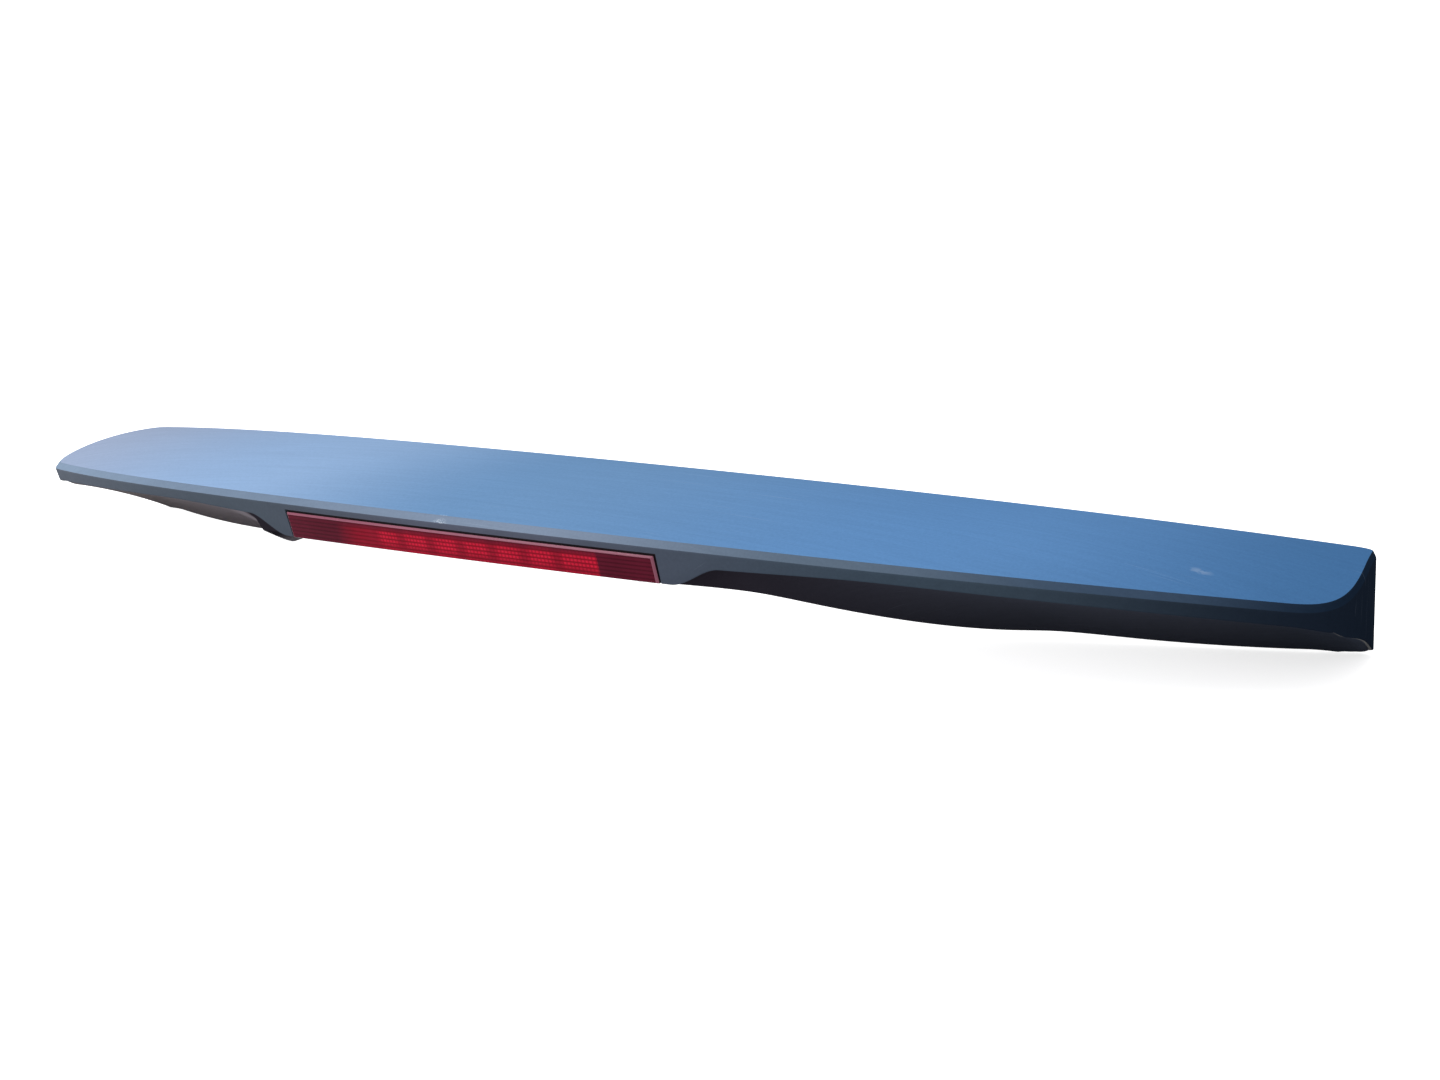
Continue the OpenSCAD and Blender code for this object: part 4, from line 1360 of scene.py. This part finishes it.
@dataclass
class StopLamp:
    """The lens of the third stop lamp: bevelled rim, stepped edge, and fluted optics inside."""

    form: WingForm
    half: float = 165.0
    top: float = 9.1
    bottom: float = 30.0
    proud: float = 1.4
    wall: float = 2.6
    depth: float = 8.0
    chamfer: float = 1.5
    step_top: float = 1.0
    step_end: float = 0.8
    step_depth: float = 3.2
    flute_pitch: float = 27.5 / 8
    rib_pitch: float = 2.3
    relief: float = 0.3
    cuts: tuple[int, int] = (560, 44)
    low_chamfer: float = 0.4
    chamfer_bow: float = 0.3
    step_slope: float = 0.3
    inner_room: float = 1.0
    sharp: float = 30.0
    on_plane: float = 0.05
    edge_run: float = 1.0

    def lens_y(self, z):
        """Plan of the lens plane at a height."""
        return self.form.face_lean * (-z - self.form.bevel_drop) - self.form.bevel_out - self.proud

    def place(self, x: np.ndarray, z, d) -> np.ndarray:
        """Points behind the lens plane.

        Args:
            x: Stations.
            z: Height under the crease.
            d: Depth behind the lens plane.

        Returns:
            Points in space.
        """
        z = z + 0 * x
        return np.stack([x, self.form.rear_y(x) + self.lens_y(z) + d, self.form.crown_z(x) + z], -1)

    def build(self, face: bpy.types.Material, rim: bpy.types.Material,
              edge: bpy.types.Material) -> bpy.types.Object:
        """Build the lens and press the optics into its inner side.

        Args:
            face: The clear red finish.
            rim: Finish of the bevelled rim, a painted highlight.
            edge: Finish of the step round it, in painted shade.

        Returns:
            The piece that stands for the lens.
        """
        cloth = Fabric(self.form.origin)
        c, w, (nx, nz) = self.chamfer, self.wall, self.cuts
        half, top, low = self.half - self.step_end, self.top + self.step_top, self.bottom
        x, z = np.linspace(c - half, half - c, nx), np.linspace(-top - c, self.low_chamfer * c - low, nz)
        inner = half - w - self.inner_room
        ix, iz = np.linspace(-inner, inner, nx), np.linspace(-top - w, w - low, nz)
        for across, up, d in ((x, z, 0.0), (ix, iz, w)):
            cloth.grid(self.place(*np.meshgrid(across, up, indexing="ij"), d), LensZone.FACE)
        ox, oz = np.linspace(-half, half, nx), np.linspace(-top, -low, nz)
        fx, fz = np.linspace(-self.half, self.half, nx), np.linspace(-self.top, -low, nz)
        loops = ((x, z, 0.0), ((x + ox) / 2, (z + oz) / 2, c * self.chamfer_bow), (ox, oz, c),
                 (ox, oz, self.step_depth), (fx, fz, self.step_depth + self.step_slope),
                 (fx, fz, self.depth), (ix, iz, self.depth), (ix, iz, w))
        rows = np.stack([self._ring(*loop) for loop in loops])
        rows = np.concatenate([rows, rows[:, :1]], axis=1)
        for start, stop, zone in ((0, 3, LensZone.RIM), (2, 8, LensZone.EDGE)):
            cloth.grid(rows[start:stop], zone)
        return self._press_optics(cloth.finish("lens_shell", [face, rim, edge], self.sharp), face)

    def _ring(self, xs: np.ndarray, zs: np.ndarray, d: float) -> np.ndarray:
        """Closed loop round a rectangle of stations and heights, at a depth."""
        loop = [(xs, zs[0] + 0 * xs), (xs[-1] + 0 * zs, zs),
                (xs[::-1], zs[-1] + 0 * xs), (xs[0] + 0 * zs, zs[::-1])]
        px = np.concatenate([p[0][:-1] for p in loop])
        pz = np.concatenate([p[1][:-1] for p in loop])
        return self.place(px, pz, d)

    def _press_optics(self, lens: bpy.types.Object, face: bpy.types.Material) -> bpy.types.Object:
        """Raise the small pillows on the lens's inner side with a rule over width and height.

        Args:
            lens: The plain lens.
            face: The clear red finish.

        Returns:
            The lens with its optics.
        """
        form = self.form
        pts = np.array([v.co for v in lens.data.vertices]) / MM + form.origin
        low = pts[:, 2] - form.crown_z(pts[:, 0])
        depth = pts[:, 1] - form.rear_y(pts[:, 0]) - self.lens_y(low)
        room = np.minimum.reduce([
            self.half - self.step_end - self.wall - self.inner_room - np.abs(pts[:, 0]),
            -self.top - self.step_top - self.wall - low, low - self.wall + self.bottom])
        share = np.where(np.abs(depth - self.wall) < self.on_plane, ease(room / self.edge_run), 0.0)
        for name, values in (("pillow", share), ("rise", low * MM)):
            layer = lens.data.attributes.new(name, "FLOAT", "POINT")
            layer.data.foreach_set("value", values.astype(np.float32))
        g = Growth("optics_rule")
        flute = g.size("Flute pitch", self.flute_pitch * MM)
        rib = g.size("Rib pitch", self.rib_pitch * MM)
        relief = g.size("Relief", self.relief * MM)
        spot = g.node("GeometryNodeInputPosition").outputs[0]
        along = g.node("ShaderNodeSeparateXYZ", {0: spot}).outputs[0]
        rise, mask = (g.node("GeometryNodeInputNamedAttribute", {"Name": name}, data_type="FLOAT").outputs[0]
                      for name in ("rise", "pillow"))
        waves = [g.maths("ABSOLUTE", g.maths("SINE", g.product(g.maths("DIVIDE", value, pitch), math.pi)))
                 for value, pitch in ((along, flute), (rise, rib))]
        lift = g.product(g.maths("SUBTRACT", g.maths("ADD", *waves), 1.0), relief, mask)
        offset = g.node("ShaderNodeCombineXYZ", {"Y": g.product(lift, -1.0)}).outputs[0]
        moved = g.node("GeometryNodeSetPosition", {"Geometry": g.given.outputs[0], "Offset": offset})
        zone = g.node("GeometryNodeInputMaterialIndex").outputs[0]
        plain = g.node("FunctionNodeCompare", {"A": zone, "B": 0}, data_type="INT", operation="EQUAL")
        return g.run(lens, moved.outputs[0], face, plain.outputs[0])


@dataclass(frozen=True)
class Softbox:
    """One square soft light that faces the object, in metres and watts."""

    name: str
    spot: Vec3
    size: float
    power: float


@dataclass
class Studio:
    """Plain pale floor, soft lights, and the camera of the photograph.

    The camera's place and its two directions come from fitting it to the object's outline. The floor
    shows the camera a little less white round white_spot, behind the near end of the object, so that
    the object's shadow shows there.
    """

    lens: float = 70.0
    sensor: float = 36.0
    reach: tuple[float, float] = (0.05, 60.0)
    spot: Vec3 = (1.244363, -1.559311, 0.488158)
    right: Vec3 = (0.8132, 0.5776, -0.0708)
    ahead: Vec3 = (-0.5744, 0.7771, -0.2572)
    sky: float = 0.62
    floor_half: float = 14.0
    floor_colour: Colour = (0.86, 0.86, 0.87)
    white: Colour = (1.0, 1.0, 1.0)
    white_spot: Vec3 = (0.56, 0.14, 0.0)
    white_range: tuple[float, float] = (0.06, 0.34)
    white_near: float = 0.68
    white_far: float = 0.9
    lights: tuple[Softbox, ...] = (
        Softbox("key", (-1.2, -1.5, 2.1), 1.3, 32.0),
        Softbox("top", (0.2, -0.1, 2.6), 1.8, 15.0),
        Softbox("fill", (-1.3, -2.6, 0.6), 1.6, 20.0),
        Softbox("rim", (2.0, -1.6, 0.7), 1.4, 6.0))

    def camera(self) -> None:
        """Place the camera and make it the scene's own."""
        data = bpy.data.cameras.new("camera")
        data.lens, data.sensor_width = self.lens, self.sensor
        data.clip_start, data.clip_end = self.reach
        cam = bpy.data.objects.new("camera", data)
        ahead = Vector(self.ahead).normalized()
        right = Vector(self.right)
        right = (right - ahead * right.dot(ahead)).normalized()
        up = right.cross(ahead)
        cam.matrix_world = Matrix.Translation(self.spot) @ Matrix((right, up, -ahead)).transposed().to_4x4()
        bpy.context.scene.collection.objects.link(cam)
        bpy.context.scene.camera = cam

    def world(self) -> None:
        """Light from all round, and white where the camera and mirrors see past the object."""
        world = bpy.data.worlds.new("studio")
        bpy.context.scene.world = world
        world.use_nodes = True
        w = Wiring(world.node_tree)
        strength = w.remap(self._seen(w), 0.0, 1.0, self.sky, 1.0)
        back = w.node("ShaderNodeBackground", {0: self.white, 1: strength})
        w.node("ShaderNodeOutputWorld", {0: back.outputs[0]})

    @staticmethod
    def _seen(w: Wiring) -> bpy.types.NodeSocket:
        """One for rays from the camera, a mirror or glass, and zero for the rest."""
        path = w.node("ShaderNodeLightPath").outputs
        glossy = w.maths("MAXIMUM", path["Is Camera Ray"], path["Is Glossy Ray"])
        return w.maths("MAXIMUM", glossy, path["Is Transmission Ray"])

    def floor(self, low: float) -> None:
        """Lay the floor under the object.

        Args:
            low: Height of the floor.
        """
        mesh, r = bpy.data.meshes.new("floor"), self.floor_half
        mesh.from_pydata([(-r, -r, low), (r, -r, low), (r, r, low), (-r, r, low)], [], [(0, 1, 2, 3)])
        obj = bpy.data.objects.new("floor", mesh)
        bpy.context.scene.collection.objects.link(obj)
        material = bpy.data.materials.new("floor")
        material.use_nodes = True
        w = Wiring(material.node_tree)
        plain = w.node("ShaderNodeBsdfDiffuse", {0: self.floor_colour})
        place = w.node("ShaderNodeTexCoord").outputs["Object"]
        away = w.node("ShaderNodeVectorMath", {0: place, 1: (1, 1, 0), 2: tuple(-c for c in self.white_spot)},
                      operation="MULTIPLY_ADD").outputs[0]
        far = w.node("ShaderNodeVectorMath", {0: away}, operation="LENGTH").outputs["Value"]
        level = w.remap(far, *self.white_range, self.white_near, self.white_far)
        glow = w.node("ShaderNodeEmission", {0: self.white, 1: w.product(self._seen(w), level)})
        both = w.node("ShaderNodeAddShader", {0: plain.outputs[0], 1: glow.outputs[0]})
        w.node("ShaderNodeOutputMaterial", {0: both.outputs[0]})
        mesh.materials.append(material)
        obj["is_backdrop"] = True

    def build(self, low: float) -> None:
        """Set up the whole studio.

        Args:
            low: Height of the floor.
        """
        self.camera()
        self.world()
        self.floor(low)
        for light in self.lights:
            data = bpy.data.lights.new(light.name, "AREA")
            data.size, data.energy = light.size, light.power
            lamp = bpy.data.objects.new(light.name, data)
            turn = (-Vector(light.spot)).to_track_quat("-Z", "Y").to_matrix().to_4x4()
            lamp.matrix_world = Matrix.Translation(light.spot) @ turn
            bpy.context.scene.collection.objects.link(lamp)
        bpy.context.scene.view_settings.view_transform = "Standard"
        log.info("studio: camera, floor and %d soft lights", len(self.lights))


# Lacquer tones from the far end (0) to the near one (1), set by comparing renders with the photograph.
# Painted sky reflection: the top's blue over dark lacquer, palest toward the far end. The two marks are a
# chip and a smudge.
TOP_BLUE_SKY_REFLECTION = Lacquer("top_blue_sky_reflection", (
    (0.0, srgb(148, 162, 188)), (0.3, srgb(136, 164, 200)), (0.5, srgb(102, 138, 178)),
    (0.8, srgb(88, 130, 178)), (1.0, srgb(66, 108, 154))),
    roughness=0.42, specular=0.0, patches=0.025, marks=(
        Mark((-0.0088, -0.1815, 0.0258), (0.006, 0.004, 0.01), 0.9, 1200.0, 0.5),
        Mark((0.4899, -0.0410, 0.0014), (0.010, 0.005, 0.02), 0.14, 160.0, 0.4)))
# Painted reflection: the bevel's pale grey-blue band; painted shade where it turns near-black at the near
# end. The mark is a chip.
BEVEL_REFLECTION_AND_SHADE = Lacquer("bevel_reflection_and_shade", (
    (0.0, srgb(124, 142, 164)), (0.3, srgb(106, 122, 142)), (0.55, srgb(114, 128, 148)),
    (0.75, srgb(82, 96, 112)), (0.9, srgb(54, 70, 90)), (1.0, srgb(22, 34, 50))),
    roughness=0.42, specular=0.0, marks=(
        Mark((-0.0088, -0.1860, 0.0225), (0.008, 0.006, 0.006), 0.9, 1200.0, 0.5),))
# Painted reflection of the surroundings: the lip face's grey toward the far end; painted shade: near-black at
# the near end.
FACE_REFLECTION_AND_SHADE = Lacquer("face_reflection_and_shade", (
    (0.0, srgb(88, 94, 104)), (0.3, srgb(70, 78, 88)), (0.5, srgb(78, 82, 96)),
    (0.8, srgb(54, 66, 78)), (1.0, srgb(22, 30, 42))),
    roughness=0.45, specular=0.0)
# Painted reflection of the ground: pale brownish grey at the far end; painted shade: dark from the scoop
# beside the pod along the recess under the lip.
SHELL_REFLECTION_AND_SHADE = Lacquer("shell_reflection_and_shade", (
    (0.0, srgb(124, 118, 120)), (0.26, srgb(128, 122, 128)), (0.29, srgb(40, 37, 44)),
    (0.66, srgb(36, 33, 40)), (0.86, srgb(62, 65, 76)), (1.0, srgb(50, 55, 66))),
    roughness=0.5, specular=0.0, scratches=0.05)
SHELL_FRONT = Moulding("shell_front", srgb(52, 52, 60), srgb(44, 44, 52), 0.55, 0.15)
INSIDE_BLACK = Moulding("inside_black", srgb(24, 25, 28), srgb(18, 19, 22), 0.6, 0.1)
LENS_RED = LensRed()
# Painted highlight: the rim's chamfer paler pink than the lens.
LENS_RIM_HIGHLIGHT = Moulding("lens_rim_highlight", srgb(140, 80, 98), srgb(122, 66, 84), 0.3, 0.2)
# Painted shadow: the near-black step round the lens, where the gap above it lies in shade.
LENS_EDGE_SHADE = Moulding("lens_edge_shade", srgb(16, 5, 12), srgb(24, 6, 14), 0.6, 0.15)
STUD_STEEL = Moulding("stud_steel", srgb(186, 184, 172), srgb(160, 158, 146), 0.3, 0.5, 700, 0.05, 1.0)
EDGE_RUBBER = Moulding("edge_rubber", srgb(24, 24, 26), srgb(34, 34, 36), 0.75, 0.2, 1100, 0.2)
NODE_FINISHES = {
    "lamp_gasket": Moulding("gasket_foam", srgb(20, 20, 22), srgb(30, 30, 32), 0.85, 0.15, 1400, 0.4),
    "lamp_housing": Moulding("housing_black", srgb(18, 18, 20), srgb(28, 28, 30), 0.5),
    "lamp_reflector": Moulding("reflector_bright", srgb(225, 225, 228), srgb(205, 206, 210), 0.18, 0.5,
                               300, 0.02, 1.0),
    "led_board": Moulding("board_green", srgb(20, 74, 42), srgb(14, 60, 34), 0.45),
    "leds": Moulding("diode_white", srgb(232, 226, 206), srgb(222, 214, 190), 0.3),
    "board_socket": Moulding("socket_black", srgb(24, 24, 26), srgb(34, 34, 36), 0.45),
    "socket_pins": Moulding("pin_brass", srgb(196, 164, 92), srgb(176, 142, 76), 0.3, 0.5, 700, 0.03, 1.0),
    "lamp_screws": Moulding("screw_steel", srgb(176, 178, 182), srgb(150, 152, 156), 0.32, 0.5,
                            700, 0.05, 1.0),
    "stud_inserts": Moulding("insert_brass", srgb(190, 156, 84), srgb(164, 132, 68), 0.35, 0.5,
                             700, 0.05, 1.0),
    "stud_seals": Moulding("seal_foam", srgb(26, 26, 28), srgb(38, 38, 40), 0.9, 0.1, 1600, 0.5),
    "wire_grommet": Moulding("grommet_rubber", srgb(22, 22, 24), srgb(32, 32, 34), 0.7, 0.2, 1100, 0.15),
    "rest_pads": Moulding("pad_foam", srgb(30, 30, 32), srgb(44, 44, 46), 0.9, 0.1, 1600, 0.5),
}


def dress_node(name: str, finish: Moulding) -> None:
    """Give a CAD node its finish.

    Args:
        name: Name of the node.
        finish: The finish.
    """
    material = finish.material()
    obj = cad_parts[name]
    if not obj.material_slots:
        obj.data.materials.append(material)
    for slot in obj.material_slots:
        slot.material = material
    log.info("%s: finish %s", name, finish.name)


def stand_for(piece: bpy.types.Object, node: str) -> None:
    """Let a piece stand for a CAD node.

    Args:
        piece: The finished piece.
        node: Name of the node.
    """
    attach(piece, "root")
    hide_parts(node)
    log.info("%s: stands for %s", piece.name, node)


def main() -> None:
    """Build every piece and the studio."""
    logging.basicConfig(level=logging.INFO, format="%(name)s: %(message)s")
    cad = [list(corner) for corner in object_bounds()]
    form = WingForm()
    at = Stations(form, opening=LAMP_OPENING_HALF)
    paints = [finish.material() for finish in (TOP_BLUE_SKY_REFLECTION, BEVEL_REFLECTION_AND_SHADE, FACE_REFLECTION_AND_SHADE, INSIDE_BLACK)]
    stand_for(SkinShell(form, at).build(paints), "upper_skin")
    shell = LowerShell(form, at).build(SHELL_REFLECTION_AND_SHADE.material(), INSIDE_BLACK.material(),
                                       SHELL_FRONT.material())
    stand_for(shell, "lower_shell")
    lens = StopLamp(form).build(LENS_RED.material(), LENS_RIM_HIGHLIGHT.material(), LENS_EDGE_SHADE.material())
    stand_for(lens, "lamp_lens")
    fixings = Fixings(form)
    stand_for(fixings.studs(STUD_STEEL.material()), "mounting_studs")
    stand_for(fixings.edge_seal(EDGE_RUBBER.material()), "edge_seal")
    for name, finish in NODE_FINISHES.items():
        dress_node(name, finish)
    Studio().build(low=cad[0][2])


if __name__ == "__main__":
    main()
